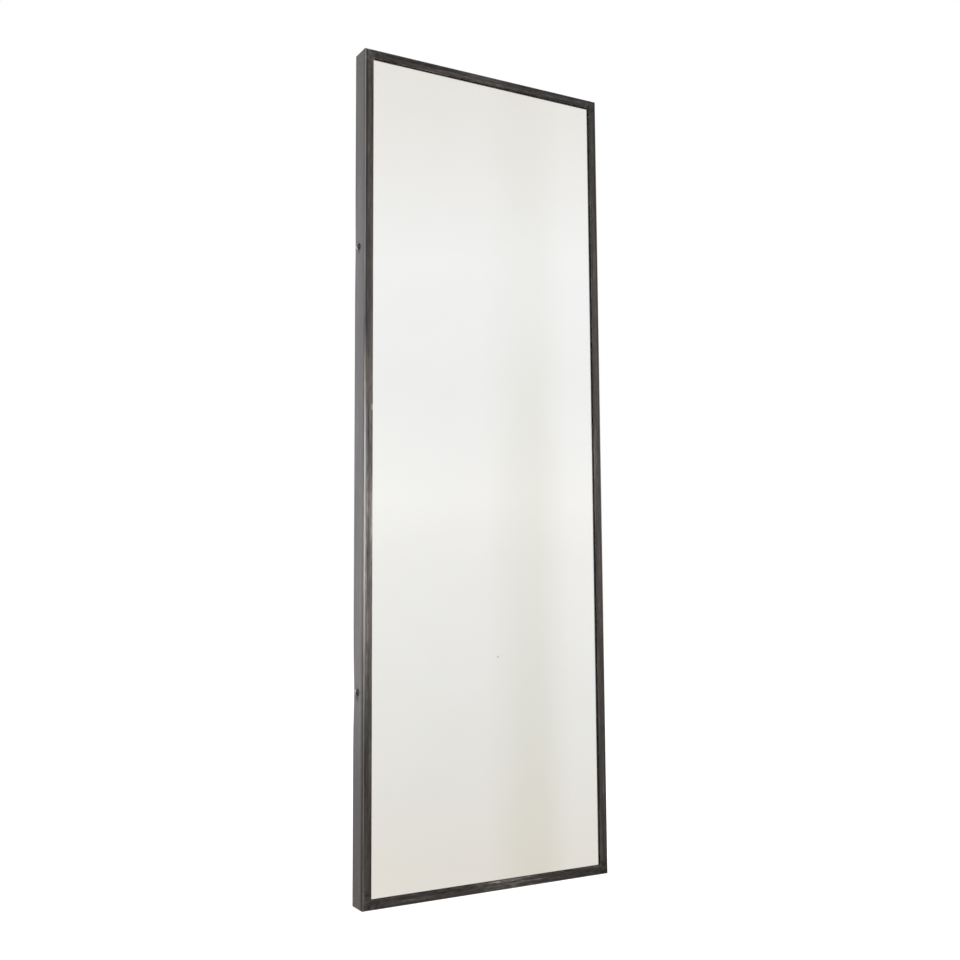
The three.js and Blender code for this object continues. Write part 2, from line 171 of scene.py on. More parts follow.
def remap(value, low, high, to_low=0.0, to_high=1.0, smooth=True):
    """Maps low..high to to_low..to_high, eased at both ends if smooth, and clamped."""
    kind = "SMOOTHSTEP" if smooth else "LINEAR"
    inputs = {"Value": value, "From Min": low, "From Max": high, "To Min": to_low, "To Max": to_high}
    return put(tree_of(value), "ShaderNodeMapRange", inputs, interpolation_type=kind, clamp=True)


def blend(share, first, second, mode="MIX"):
    """Mixes two colours by a share, as an output."""
    inputs = {0: share, 6: first, 7: second}
    tree = tree_of(share, first, second)
    return place(tree, "ShaderNodeMix", inputs, data_type="RGBA", blend_type=mode).outputs[2]


def ramp(value, *stops):
    """A colour ramp from stops, each a position with a colour or a grey, as an output."""
    made = place(tree_of(value), "ShaderNodeValToRGB", {0: value})
    while len(made.color_ramp.elements) < len(stops):
        made.color_ramp.elements.new(1.0)
    for element, (position, colour) in zip(made.color_ramp.elements, stops):
        element.position = position
        element.color = (*(colour[:3] if isinstance(colour, tuple) else (colour,) * 3), 1)
    return made.outputs[0]


def linear(*srgb):
    """A colour as a painter reads it, 0 to 255, in the linear values that a shader takes."""
    return (*((v / 255 / 12.92) if v <= 10 else ((v / 255 + 0.055) / 1.055) ** 2.4 for v in srgb), 1.0)


def painted(value, *stops):
    """A ramp whose colours are given from 0 to 255."""
    return ramp(value, *((position, linear(*colour)) for position, colour in stops))


def noise(vector, scale, detail=2.0, roughness=0.5, distortion=0.0):
    """Cloudy noise from 0 to 1, as an output."""
    inputs = {
        "Vector": vector, "Scale": scale, "Detail": detail, "Roughness": roughness, "Distortion": distortion,
    }
    return place(tree_of(vector), "ShaderNodeTexNoise", inputs).outputs["Fac"]


print("a mid grey in a shader is", [round(v, 3) for v in linear(128, 128, 128)])

# %% [markdown]
# ## World
# A mirror shows the room, so the room is part of the mirror's look. Here it is a plain studio: pure white
# behind the mirror, and an off-white sweep in front of it that is a touch darker and warmer towards the
# floor, with one soft warm band. It is drawn by direction, like a painted dome.

# %% The studio as a dome
world = bpy.data.worlds.new("studio")
scene.world = world
world.use_nodes = True
dome = world.node_tree
dome.nodes.clear()

direction = split(place(dome, "ShaderNodeTexCoord").outputs["Generated"])
rise = remap(direction["Z"], -0.25, 0.45, smooth=False)
sweep = painted(
    rise, (0.03, (233, 229, 222)), (0.17, (237, 236, 232)), (0.31, (243, 242, 240)), (0.385, (246, 245, 243)),
    (0.455, (252, 251, 249)), (0.60, (247, 247, 247)), (0.74, (251, 251, 251)), (0.95, (239, 236, 231)),
)
heading = maths("ARCTAN2", direction["Y"], direction["X"])
across = remap(heading, math.radians(-66), math.radians(-54), smooth=False)
paper_join = ramp(
    across, (0.0, (0.985, 0.985, 0.98)), (0.25, 0.972), (0.46, (0.968, 0.966, 0.966)),
    (0.61, (0.905, 0.90, 0.862)), (0.69, (0.905, 0.898, 0.858)), (0.80, 0.985), (1.0, 1.0),
)
join_depth = remap(direction["Z"], 0.05, 0.30, 1.0, 0.45)
sweep_seen = blend(
    join_depth, blend(1.0, sweep, (0.975, 0.975, 0.975, 1), "MULTIPLY"),
    blend(1.0, sweep, paper_join, "MULTIPLY"),
)

ray = place(dome, "ShaderNodeLightPath").outputs
mirrored = maths("MAXIMUM", ray["Is Glossy Ray"], ray["Is Transmission Ray"])
seen = blend(mirrored, (1, 1, 1, 1), sweep_seen)
dim = maths("MAXIMUM", mirrored, ray["Is Camera Ray"])
FILL_STRENGTH = 0.62
strength = remap(dim, 0.0, 1.0, FILL_STRENGTH, 1.0, smooth=False)
background = place(dome, "ShaderNodeBackground", {"Color": seen, "Strength": strength})
place(dome, "ShaderNodeOutputWorld", {"Surface": background.outputs[0]})
print("the dome's fill strength is", FILL_STRENGTH)

# %% [markdown]
# ## Floor
# A wide white floor carries the mirror and keeps its soft shadow. A little of its own light keeps it white
# to the camera, and it lets a view from below pass.

# %% Floor
floor_mesh = bpy.data.meshes.new("floor")
sheet = bmesh.new()
bmesh.ops.create_circle(sheet, cap_ends=True, segments=96, radius=14)
sheet.to_mesh(floor_mesh)
sheet.free()
floor = bpy.data.objects.new("floor", floor_mesh)
scene.collection.objects.link(floor)
floor.visible_glossy = False
floor.visible_transmission = False

floor_finish = bpy.data.materials.new("white floor")
floor_finish.use_nodes = True
tree = floor_finish.node_tree
tree.nodes.clear()
where = place(tree, "ShaderNodeTexCoord").outputs["Object"]
paint = ramp(noise(where, 3.0, 4), (0.3, (0.90, 0.90, 0.90)), (0.7, (0.93, 0.93, 0.93)))
matt = place(tree, "ShaderNodeBsdfDiffuse", {"Color": paint})
glow = place(tree, "ShaderNodeEmission", {"Color": (1, 1, 1, 1), "Strength": 0.5})
both = place(tree, "ShaderNodeAddShader", {0: matt.outputs[0], 1: glow.outputs[0]})
camera_ray = place(tree, "ShaderNodeLightPath").outputs["Is Camera Ray"]
lit = place(tree, "ShaderNodeMixShader", {0: camera_ray, 1: matt.outputs[0], 2: both.outputs[0]})
under = place(tree, "ShaderNodeNewGeometry").outputs["Backfacing"]
clear = place(tree, "ShaderNodeBsdfTransparent")
shown = place(tree, "ShaderNodeMixShader", {0: under, 1: lit.outputs[0], 2: clear.outputs[0]})
place(tree, "ShaderNodeOutputMaterial", {"Surface": shown.outputs[0]})
floor_mesh.materials.append(floor_finish)
print("floor radius 14 m")

# %% [markdown]
# ## Lamps
# Big soft boxes do what they do in a product studio. One stands at the left front, and its reflection draws
# the bright line down the folded corner. One behind on the left lights the side of the frame. A weak one on
# the right keeps the far side from going flat. The glass doesn't show them.

# %% Lamps
def soft_box(name, place_at, look_at, width, height, power):
    """A square lamp that faces a point."""
    data = bpy.data.lights.new(name, "AREA")
    data.shape = "RECTANGLE"
    data.size = width
    data.size_y = height
    data.energy = power
    lamp = bpy.data.objects.new(name, data)
    lamp.location = place_at
    lamp.rotation_euler = (Vector(look_at) - Vector(place_at)).to_track_quat("-Z", "Y").to_euler()
    lamp.visible_camera = False
    lamp.visible_transmission = False
    lamp.light_linking.receiver_collection = unlit
    scene.collection.objects.link(lamp)
    return lamp


unlit = bpy.data.collections.new("glass that the lamps leave out")
unlit.objects.link(nodes["mirror_glass"])
unlit.collection_objects[0].light_linking.link_state = "EXCLUDE"

soft_box("key", (-2.6, -1.5, 1.05), (-0.3, 0, 0.9), 0.5, 1.2, 24)
soft_box("side", (-1.6, 2.1, 1.14), (-0.3, 0, 0.85), 1.3, 2.4, 15.5)
soft_box("front", (0.62, -2.9, 1.13), (-0.1, 0, 0.9), 0.4, 0.8, 30)
soft_box("right", (2.4, -1.2, 1.8), (0, 0, 0.9), 1.4, 1.6, 14)
soft_box("top", (0.2, -0.8, 3.4), (0, 0, 0.9), 2.0, 1.4, 18)
print("5 soft boxes")

# %% [markdown]
# ## Shared effects
# Steel, screws and hangers share a few effects, so each is a shader group, built once. The frame's own
# coordinates come first: how far a point lies from the outside of the frame round the fold, and how far
# along its bar. Grain then runs along each bar by itself, and calms down at the mitred corners.

# %% A helper for shader groups
def shader_group(name, inputs, outputs):
    """A node group with named inputs and outputs, and its two end nodes."""
    tree = bpy.data.node_groups.new(name, "ShaderNodeTree")
    for label, kind, value in inputs:
        socket = tree.interface.new_socket(label, in_out="INPUT", socket_type=kind)
        if value is not None:
            socket.default_value = value
    for label, kind in outputs:
        tree.interface.new_socket(label, in_out="OUTPUT", socket_type=kind)
    return tree, tree.nodes.new("NodeGroupInput").outputs, tree.nodes.new("NodeGroupOutput").inputs


def use_group(group, **inputs):
    """Places a group in a tree, its inputs named with _ for a space."""
    made = tree_of(*inputs.values()).nodes.new("ShaderNodeGroup")
    made.node_tree = group
    for key, value in inputs.items():
        socket = made.inputs[key.replace("_", " ")]
        if isinstance(value, bpy.types.NodeSocket):
            link(value, socket)
        else:
            socket.default_value = value
    return made.outputs


NUMBER, VECTOR = "NodeSocketFloat", "NodeSocketVector"

# %% Frame coordinates
frame_map, got, give = shader_group(
    "frame coordinates",
    [("Vector", VECTOR, None)],
    [("Across", NUMBER), ("Along", NUMBER), ("Bar", NUMBER), ("Corner", NUMBER)],
)
point = split(got["Vector"])
above_middle = minus(point["Z"], MID_HEIGHT)
from_side = minus(HALF_WIDTH, maths("ABSOLUTE", point["X"]))
from_end = minus(MID_HEIGHT, maths("ABSOLUTE", above_middle))
behind = minus(point["Y"], FRONT)
on_rail = maths("LESS_THAN", from_end, from_side)
inset = maths("MINIMUM", from_side, from_end)
link(minus(inset, behind), give["Across"])
along = between(on_rail, point["Z"], point["X"])
link(along, give["Along"])
stile_bar = maths("SIGN", point["X"])
rail_bar = times(maths("SIGN", above_middle), 2.0)
link(between(on_rail, stile_bar, rail_bar), give["Bar"])
into_corner = maths("MAXIMUM", from_side, from_end)
link(remap(into_corner, 22 * MM, 60 * MM, 1.0, 0.0), give["Corner"])
print("frame coordinates: bars left -1, right 1, bottom -2, top 2")

# %% Lengthwise streaks
streaks, got, give = shader_group(
    "lengthwise streaks",
    [
        ("Across", NUMBER, 0.0), ("Along", NUMBER, 0.0), ("Seed", NUMBER, 0.0), ("Width", NUMBER, 0.004),
        ("Length", NUMBER, 0.2),
    ],
    [("Streaks", NUMBER)],
)
crosswise = over(got["Across"], got["Width"])
lengthwise = over(got["Along"], got["Length"])
spot = vector(crosswise, times(got["Seed"], 7.3), lengthwise)
grain = noise(spot, 1.0, 3.0, 0.55, 0.15)
link(remap(grain, 0.30, 0.70, smooth=False), give["Streaks"])
print("streaks group built")

# %% Soft line, a mask for one line along a bar
line_mask, got, give = shader_group(
    "soft line",
    [("Across", NUMBER, 0.0), ("Centre", NUMBER, 0.0), ("Width", NUMBER, 0.001)],
    [("Mask", NUMBER)],
)
off_line = over(minus(got["Across"], got["Centre"]), got["Width"])
link(maths("EXPONENT", times(off_line, off_line, -1.0)), give["Mask"])
print("soft line group built")

# %% Spot mask, for spots where the black has worn thin and for painted shadows round the screws
spot_mask, got, give = shader_group(
    "rubbed spot",
    [
        ("Vector", VECTOR, None), ("Centre", VECTOR, None), ("Reach", VECTOR, None), ("Break Up", NUMBER, 0.5),
        ("Grain", VECTOR, (900.0, 900.0, 900.0)),
    ],
    [("Mask", NUMBER)],
)
away = put(spot_mask, "ShaderNodeVectorMath", {0: got["Vector"], 1: got["Centre"]}, operation="SUBTRACT")
away = put(spot_mask, "ShaderNodeVectorMath", {0: away, 1: got["Reach"]}, operation="DIVIDE")
distance = place(spot_mask, "ShaderNodeVectorMath", {0: away}, operation="LENGTH").outputs["Value"]
near = remap(distance, 0.2, 1.0, 1.0, 0.0)
grained = put(spot_mask, "ShaderNodeVectorMath", {0: got["Vector"], 1: got["Grain"]}, operation="MULTIPLY")
crumbs = noise(grained, 1.0, 2.0, 0.6)
broken = remap(crumbs, got["Break Up"], plus(got["Break Up"], 0.12))
link(times(near, broken), give["Mask"])
print("rubbed spot group built")

# %% Dust and fingerprints
dust, got, give = shader_group(
    "dust", [("Vector", VECTOR, None), ("Amount", NUMBER, 0.3)], [("Mask", NUMBER)]
)
patches = remap(noise(got["Vector"], 6.0, 3.0, 0.6), 0.42, 0.68)
specks = remap(noise(got["Vector"], 700.0, 1.0), 0.55, 0.75)
cover = plus(times(patches, 0.6), times(specks, 0.4))
link(maths("MULTIPLY", cover, got["Amount"], clamp=True), give["Mask"])
print("dust group built")

# %% [markdown]
# ## Blackened steel
# The frame is mild steel, darkened with a chemical patina and sealed with wax. The patina is never even: it
# lies in streaks along the bar, from black to bronze and olive, and it is rubbed grey on the folded corner
# and where hands take hold. Light is painted into its colour too: the bright line down the fold and the
# brighter middle of the left face are partly wear and partly painted highlight, the side leg is painted
# lighter than the face and lighter or darker by height, as painted light and shade, and the dark spots round
# the side screws are painted shadows. The metal stays a metal under it, so it is a dark metallic surface
# whose colour and roughness both follow the streaks.

# %% Start of a material
def new_finish(name, inputs=None):
    """A material with one Principled shader: its tree, the shader and the object coordinates."""
    made = bpy.data.materials.new(name)
    made.use_nodes = True
    tree = made.node_tree
    tree.nodes.clear()
    shader = place(tree, "ShaderNodeBsdfPrincipled", inputs)
    place(tree, "ShaderNodeOutputMaterial", {"Surface": shader.outputs[0]})
    return made, tree, shader, place(tree, "ShaderNodeTexCoord").outputs["Object"]


def feed(shader, colour, roughness, height=None, relief=0.0001, firmness=0.5):
    """Links colour and roughness, and a height through a Bump node."""
    link(colour, shader.inputs["Base Color"])
    link(roughness, shader.inputs["Roughness"])
    if height is not None:
        inputs = {"Height": height, "Distance": relief, "Strength": firmness}
        link(put(tree_of(height), "ShaderNodeBump", inputs), shader.inputs["Normal"])


def dusted(colour, where, amount, dust_colour):
    """A colour with dust on it."""
    settled = use_group(dust, Vector=where, Amount=amount)[0]
    return blend(settled, colour, linear(*dust_colour))


# %% Blackened steel
# The height of a brighter zone on the left stile's face, partly wear and partly a painted highlight.
HELD_AND_HIGHLIT_HEIGHT = 0.69
steel, tree, shader, where = new_finish("blackened steel", {"Metallic": 0.85})
at = use_group(frame_map, Vector=where)


def streaked(width, length, seed=at["Bar"]):
    """Lengthwise streaks of one size on every bar."""
    return use_group(streaks, Across=at["Across"], Along=at["Along"], Seed=seed, Width=width, Length=length)[0]


broad = streaked(6 * MM, 0.22)
fine = streaked(1.5 * MM, 0.09)
short = streaked(4.5 * MM, 0.022, plus(at["Bar"], 5.0))
mottle = remap(noise(where, 90.0, 4.0, 0.6), 0.3, 0.7, smooth=False)
lines = plus(times(broad, 0.5), times(fine, 0.3))
on_rail = maths("GREATER_THAN", maths("ABSOLUTE", at["Bar"]), 1.5)
short_share = between(on_rail, 0.28, 0.6)
short_lines = times(minus(short, 0.5), short_share)
lines = plus(lines, plus(short_lines, 0.1))
on_left = maths("LESS_THAN", maths("ABSOLUTE", plus(at["Bar"], 1.0)), 0.1)
# The left stile's face is painted brighter round that height, partly wear where it is held and partly a painted
# highlight, and a little brighter near its foot.
from_held_and_highlit = maths("ABSOLUTE", minus(at["Along"], HELD_AND_HIGHLIT_HEIGHT))
held_and_highlit_tone = remap(from_held_and_highlit, 0.08, 0.27, 0.19, -0.08)
held_and_highlit_tone = plus(held_and_highlit_tone, remap(at["Along"], 0.08, 0.24, 0.15, 0.0))
on_side = remap(at["Across"], -2.5 * MM, -4.5 * MM)
on_left_face = times(on_left, minus(1.0, on_side))
lines = plus(lines, times(held_and_highlit_tone, on_left_face))
held_at = between(maths("GREATER_THAN", at["Bar"], 0.0), 0.045, -0.005)
from_hold = maths("ABSOLUTE", minus(at["Along"], held_at))
rail_tone = remap(from_hold, 0.0, 0.13, 0.24, -0.10)
rail_tone = minus(rail_tone, remap(at["Bar"], 0.0, 2.0, -0.04, 0.12))
lines = plus(lines, times(rail_tone, on_rail))
tone = between(at["Corner"], lines, minus(mottle, 0.12))
patina = painted(tone, (0.0, (32, 30, 30)), (0.45, (58, 55, 54)), (0.75, (74, 70, 67)), (1.0, (104, 100, 98)))

hue = noise(vector(times(at["Across"], 90.0), at["Bar"], times(at["Along"], 3.0)), 1.0, 2.0)
coloured = remap(from_held_and_highlit, 0.10, 0.40, 0.1, 0.5)
bronze = times(remap(hue, 0.52, 0.66), coloured)
patina = blend(bronze, patina, (1.22, 1.0, 0.82, 1), "MULTIPLY")
olive = times(remap(hue, 0.46, 0.34), coloured)
patina = blend(olive, patina, (1.03, 1.05, 0.78, 1), "MULTIPLY")
# The side leg is painted lighter than the face, and lighter or darker by height: painted light and shade.
height_share = over(at["Along"], HEIGHT)
side_light_and_shade = painted(
    height_share, (0.0, (94, 90, 94)), (0.08, (92, 88, 93)), (0.16, (86, 82, 87)), (0.22, (86, 82, 86)),
    (0.29, (94, 89, 93)), (0.42, (90, 86, 90)), (0.55, (86, 82, 87)), (0.70, (76, 73, 77)),
    (0.78, (79, 75, 82)), (0.85, (88, 84, 92)), (0.93, (105, 102, 105)), (1.0, (106, 104, 107)),
)
patina = blend(on_side, patina, blend(0.68, patina, side_light_and_shade))
rear_edge = remap(at["Across"], -43 * MM, -49 * MM, 0.0, 0.5)
patina = blend(rear_edge, patina, linear(50, 48, 48))


def line_along(centre, width, strength):
    """A mask for one line along every bar."""
    line = use_group(line_mask, Across=at["Across"], Centre=centre, Width=width)[0]
    return times(line, strength)


# A dark line on the side leg just behind the fold, stronger towards the bottom.
dark_line_behind_fold = line_along(-5.7 * MM, 4.1 * MM, remap(at["Along"], 0.72, 0.38, 0.25, 1.0))
patina = blend(dark_line_behind_fold, patina, linear(9, 9, 8))
shadow_line = line_along(4.8 * MM, 1.4 * MM, remap(at["Along"], 0.85, 1.25, 0.3, 0.85))
patina = blend(shadow_line, patina, linear(32, 32, 29))
# A bright line down the left stile's fold, strongest at two heights, with a wider bright band beside it at
# mid-height: partly wear, partly a painted highlight.
handled_and_highlit = remap(maths("ABSOLUTE", minus(at["Along"], 0.78)), 0.12, 0.50, 1.0, 0.0)
kept_bright = maths("MAXIMUM", remap(at["Along"], 1.15, 1.40, 0.0, 0.75), handled_and_highlit)
fold_wear_and_highlight = plus(times(kept_bright, 0.65), remap(fine, 0.1, 0.6, 0.1, 0.35))
left_share = remap(at["Bar"], -1.0, -0.9, 1.0, 0.25)
left_share = times(left_share, minus(1.0, times(on_rail, 0.75)))
fold_place = remap(at["Along"], 0.95, 1.30, 1.3 * MM, 0.2 * MM)
worn_and_highlit_fold = line_along(fold_place, 1.6 * MM, times(fold_wear_and_highlight, left_share))
patina = blend(worn_and_highlit_fold, patina, linear(158, 157, 156))
handled_and_highlit_left = times(handled_and_highlit, 0.6, left_share)
patina = blend(line_along(2.6 * MM, 2.2 * MM, handled_and_highlit_left), patina, linear(120, 118, 118))
worn_rim = line_along(19.5 * MM, 1.8 * MM, remap(broad, 0.45, 0.85, 0.0, 0.5))
patina = blend(worn_rim, patina, linear(104, 101, 99))

RUBBED = [
    ((0.012, FRONT, 0.0180), (34 * MM, 9 * MM, 2.4 * MM), 0.42, 146),
    ((0.045, FRONT, 0.0165), (24 * MM, 9 * MM, 2.4 * MM), 0.46, 130),
    ((-0.018, FRONT, HEIGHT - 0.0175), (26 * MM, 9 * MM, 2.2 * MM), 0.50, 98),
    ((-HALF_WIDTH + 0.0180, FRONT, 1.020), (2.6 * MM, 9 * MM, 9 * MM), 0.40, 128),
    ((-HALF_WIDTH + 0.0185, FRONT, 0.700), (1.8 * MM, 9 * MM, 30 * MM), 0.52, 112),
    ((-HALF_WIDTH + 0.0040, FRONT, 0.030), (5 * MM, 9 * MM, 24 * MM), 0.52, 120),
    ((-HALF_WIDTH + 0.0090, FRONT, HEIGHT - 0.012), (8 * MM, 9 * MM, 8 * MM), 0.55, 96),
]
for centre, reach_out, break_up, grey in RUBBED:
    crumb_scale = (110, 110, 650) if reach_out[0] > reach_out[2] else (650, 110, 160)
    rubbed = use_group(
        spot_mask, Vector=where, Centre=centre, Reach=reach_out, Break_Up=break_up, Grain=crumb_scale,
    )[0]
    patina = blend(rubbed, patina, linear(grey, grey - 3, grey - 6))

# Painted shadows: dark spots on the side leg round and below each side screw's head, where its shade falls.
SCREW_SHADOWS = [
    ((0, FRONT + 0.0310, 0.4250), (10, 13 * MM, 21 * MM), 14),
    ((0, FRONT + 0.0310, 1.3665), (10, 13 * MM, 17 * MM), 14),
    ((0, FRONT + 0.0325, 0.4195), (10, 9 * MM, 7 * MM), 3),
]
for centre, reach_out, grey in SCREW_SHADOWS:
    screw_shadow = use_group(spot_mask, Vector=where, Centre=centre, Reach=reach_out, Break_Up=-0.5)[0]
    patina = blend(screw_shadow, patina, linear(grey, grey, grey))

sheen = ramp(tone, (0.0, 0.50), (1.0, 0.36))
sheen = blend(worn_and_highlit_fold, sheen, (0.28, 0.28, 0.28, 1))
on_right = maths("LESS_THAN", maths("ABSOLUTE", minus(at["Bar"], 1.0)), 0.1)
sheen = blend(times(on_right, on_side), sheen, (0.74, 0.74, 0.74, 1))
feed(shader, patina, sheen, mottle, 0.00005, 0.25)
print("blackened steel: bars in", len(tree.nodes), "nodes")

# %% [markdown]
# ## Weld, screws, zinc and rubber
# The inside welds are left as they come: brown-grey scales. The screws are black oxide, a little polished by
# the driver on their crowns, and the rear half of each side screw's crown is painted bright, partly polish and
# partly a painted highlight. Hangers and their screws are bright zinc with a faint cloudiness. The bumpers
# and setting blocks are matt black rubber.

# %% Weld bead
weld_finish, tree, shader, where = new_finish("weld bead", {"Metallic": 0.8})
cloud = noise(where, 260.0, 3.0, 0.6)
heat = painted(cloud, (0.3, (52, 50, 48)), (0.5, (92, 84, 74)), (0.7, (74, 78, 92)))
feed(shader, heat, ramp(cloud, (0.3, 0.6), (0.7, 0.4)), cloud, 0.0002, 0.4)

# %% Black screws
screw_finish, tree, shader, where = new_finish("black screw", {"Metallic": 0.9})
cloud = noise(where, 420.0, 3.0, 0.6)
oxide = painted(cloud, (0.3, (40, 39, 40)), (0.7, (66, 64, 64)))
oxide = dusted(oxide, where, 0.35, (96, 94, 90))
screw_at = split(where)
stands_out = minus(maths("ABSOLUTE", screw_at["X"]), HALF_WIDTH)
crown = remap(stands_out, 0.2 * MM, 2.4 * MM)
# The rear half of each side screw's crown is painted bright: partly polish, partly a painted highlight.
polish_and_highlight = remap(screw_at["Y"], FRONT + 0.029, FRONT + 0.035, 0.0, 1.0)
crown = times(crown, polish_and_highlight)
oxide = blend(crown, oxide, linear(199, 198, 195))
feed(shader, oxide, ramp(cloud, (0.3, 0.30), (0.7, 0.42)), cloud, 0.0001, 0.15)

# %% Zinc
zinc_finish, tree, shader, where = new_finish("zinc", {"Metallic": 1.0})
cloud = noise(where, 150.0, 4.0, 0.6)
scratches = noise(put(tree, "ShaderNodeMapping", {"Vector": where, "Scale": (1500, 1500, 160)}), 1.0, 2.0)
plate = painted(cloud, (0.3, (176, 180, 184)), (0.7, (202, 203, 202)))
plate = dusted(plate, where, 0.3, (150, 145, 138))
feed(shader, plate, ramp(scratches, (0.3, 0.36), (0.7, 0.5)), scratches, 0.00004, 0.2)

# %% Rubber
rubber_finish, tree, shader, where = new_finish("black rubber")
cloud = noise(where, 900.0, 2.0, 0.6)
gum = painted(cloud, (0.3, (26, 26, 27)), (0.7, (38, 38, 38)))
gum = dusted(gum, where, 0.45, (104, 98, 90))
feed(shader, gum, ramp(cloud, (0.3, 0.75), (0.7, 0.9)), cloud, 0.0001, 0.3)
print("weld, screw, zinc and rubber finishes")

# %% [markdown]
# ## Glass and silvering
# A mirror is clear glass with a film of silver behind it. Both are kept: the glass bends and dims the view a
# little, and the silver behind it reflects, so the edge of the frame is doubled in the glass as on a real
# mirror. The silver is not quite perfect: it has one small flaw, as cheap silvering does.

# %% Clear glass
glass_finish, tree, shader, where = new_finish("clear glass", {"Transmission Weight": 1.0, "IOR": 1.52})
film = use_group(dust, Vector=where, Amount=0.5)[0]
tint = blend(film, (0.994, 0.996, 0.993, 1), (0.984, 0.984, 0.979, 1))
feed(shader, tint, ramp(film, (0.2, 0.0), (1.0, 0.012)))

# %% Silvering
silver_finish, tree, shader, where = new_finish("silvering", {"Metallic": 1.0})
cloud = noise(where, 2.0, 2.0)
film = ramp(cloud, (0.3, (0.955, 0.955, 0.952)), (0.7, (0.965, 0.965, 0.962)))
flaw = use_group(
    spot_mask, Vector=where, Centre=(0.021, -0.0199, 0.492), Reach=(2.2 * MM, 9 * MM, 2.2 * MM), Break_Up=0.2,
)[0]
film = blend(flaw, film, linear(96, 94, 90))
feed(shader, film, ramp(flaw, (0.0, 0.0), (1.0, 0.4)))
print("glass and silvering")

# %% [markdown]
# ## Wood
# The battens are planed pine. Growth rings are shells round the tree's middle, so a batten cut along the
# trunk shows them as long wavy lines, and a knot pushes them aside. The same group serves battens that run
# up and battens that run across, because the grain's direction is an input vector. The board that backs the
# glass is pressed fibre, with no grain at all.

# %% Wood grain
wood_grain, got, give = shader_group(
    "wood grain",
    [("Vector", VECTOR, None), ("Ring", NUMBER, 0.0035), ("Seed", NUMBER, 0.0)],
    [("Late Wood", NUMBER), ("Knot", NUMBER), ("Fibre", NUMBER)],
)
at = split(got["Vector"])
stretched = vector(at["X"], at["Y"], times(at["Z"], 0.22))
knot_cells = place(
    wood_grain, "ShaderNodeTexVoronoi", {"Vector": stretched, "Scale": 14.0, "Randomness": 1.0}, feature="F1",
).outputs["Distance"]
knot = remap(knot_cells, 0.05, 0.13, 1.0, 0.0)
wander = noise(stretched, 9.0, 3.0, 0.5)
pushed = times(remap(knot_cells, 0.08, 0.4, 1.0, 0.0), 0.012)
off_x = plus(at["X"], times(minus(wander, 0.5), 0.03))
off_y = plus(at["Y"], 0.055, pushed)
radius = maths("SQRT", plus(times(off_x, off_x), times(off_y, off_y)))
years = vector(times(radius, 170.0), got["Seed"], 0)
uneven = times(minus(noise(years, 1.0, 2.0), 0.5), 0.012)
ring = maths("FRACT", over(plus(radius, uneven), got["Ring"]))
late = times(remap(ring, 0.25, 0.85), remap(ring, 0.86, 0.98, 1.0, 0.0))
link(late, give["Late Wood"])
link(knot, give["Knot"])
fibre_vector = put(wood_grain, "ShaderNodeMapping", {"Vector": got["Vector"], "Scale": (1100, 1100, 30)})
link(noise(fibre_vector, 1.0, 2.0), give["Fibre"])


# %% Pine, for battens that run up and battens that run across
def pine(name, turn, shift):
    """Pine whose grain runs along Z once the piece's coordinates are turned."""
    made, tree, shader, where = new_finish(name)
    turned = put(tree, "ShaderNodeMapping", {"Vector": where, "Rotation": turn, "Location": shift})
    grain = use_group(wood_grain, Vector=turned)
    colour = painted(grain["Late Wood"], (0.0, (226, 196, 150)), (1.0, (196, 152, 98)))
    colour = blend(times(grain["Fibre"], 0.35), colour, linear(172, 130, 84))
    colour = blend(grain["Knot"], colour, linear(118, 74, 42))
    colour = dusted(colour, where, 0.3, (176, 160, 136))
    feed(shader, colour, ramp(grain["Late Wood"], (0.0, 0.72), (1.0, 0.58)), grain["Fibre"], 0.0002, 0.35)
    return made


pine_up = pine("pine upright", (0, 0, 0), (0.01, 0, 0))
pine_across = pine("pine crosswise", (0, math.pi / 2, 0), (0.013, 0, 0))
print("pine in two directions")

# %% Fibreboard
board_finish, tree, shader, where = new_finish("fibreboard")
chips = noise(where, 1400.0, 3.0, 0.7)
clouds = noise(where, 14.0, 3.0)
pulp = painted(chips, (0.3, (142, 106, 70)), (0.7, (176, 138, 96)))
pulp = blend(remap(clouds, 0.4, 0.7, 0.0, 0.35), pulp, linear(130, 98, 66))
feed(shader, pulp, ramp(chips, (0.3, 0.7), (0.7, 0.85)), chips, 0.0001, 0.25)
print("fibreboard")

# %% [markdown]
# ## Geometry trees
# What follows a rule is made with Geometry Nodes: the four folded bars, the turned screws and bumpers, the
# weld beads and the wire rings. Each tree sweeps one outline along one line. A mesh of loose edges goes in
# as the outline, and a plain mesh comes out, so no modifier is left on the finished piece.

# %% Helpers for geometry trees
GEOMETRY, WHOLE = "NodeSocketGeometry", "NodeSocketInt"
MATERIAL, ROTATION = "NodeSocketMaterial", "NodeSocketRotation"


def geometry_tree(name, inputs):
    """A geometry tree with named inputs: the tree, its input sockets by name, and the incoming outputs."""
    tree = bpy.data.node_groups.new(name, "GeometryNodeTree")
    tree.interface.new_socket("Outline", in_out="INPUT", socket_type=GEOMETRY)
    sockets = {
        label: tree.interface.new_socket(label, in_out="INPUT", socket_type=kind)
        for label, kind in inputs
    }
    tree.interface.new_socket("Geometry", in_out="OUTPUT", socket_type=GEOMETRY)
    return tree, sockets, tree.nodes.new("NodeGroupInput").outputs


def position(tree):
    """The X, Y and Z of where a point is, as outputs."""
    return split(put(tree, "GeometryNodeInputPosition"))


def store(geometry, name, value):
    """Stores a number on every point, and gives the geometry back."""
    inputs = {"Geometry": geometry, "Name": name, "Value": value}
    kind = "GeometryNodeStoreNamedAttribute"
    return put(tree_of(geometry), kind, inputs, data_type="FLOAT", domain="POINT")


def stored(tree, name):
    """A number that was stored under a name."""
    return put(tree, "GeometryNodeInputNamedAttribute", {"Name": name}, data_type="FLOAT")


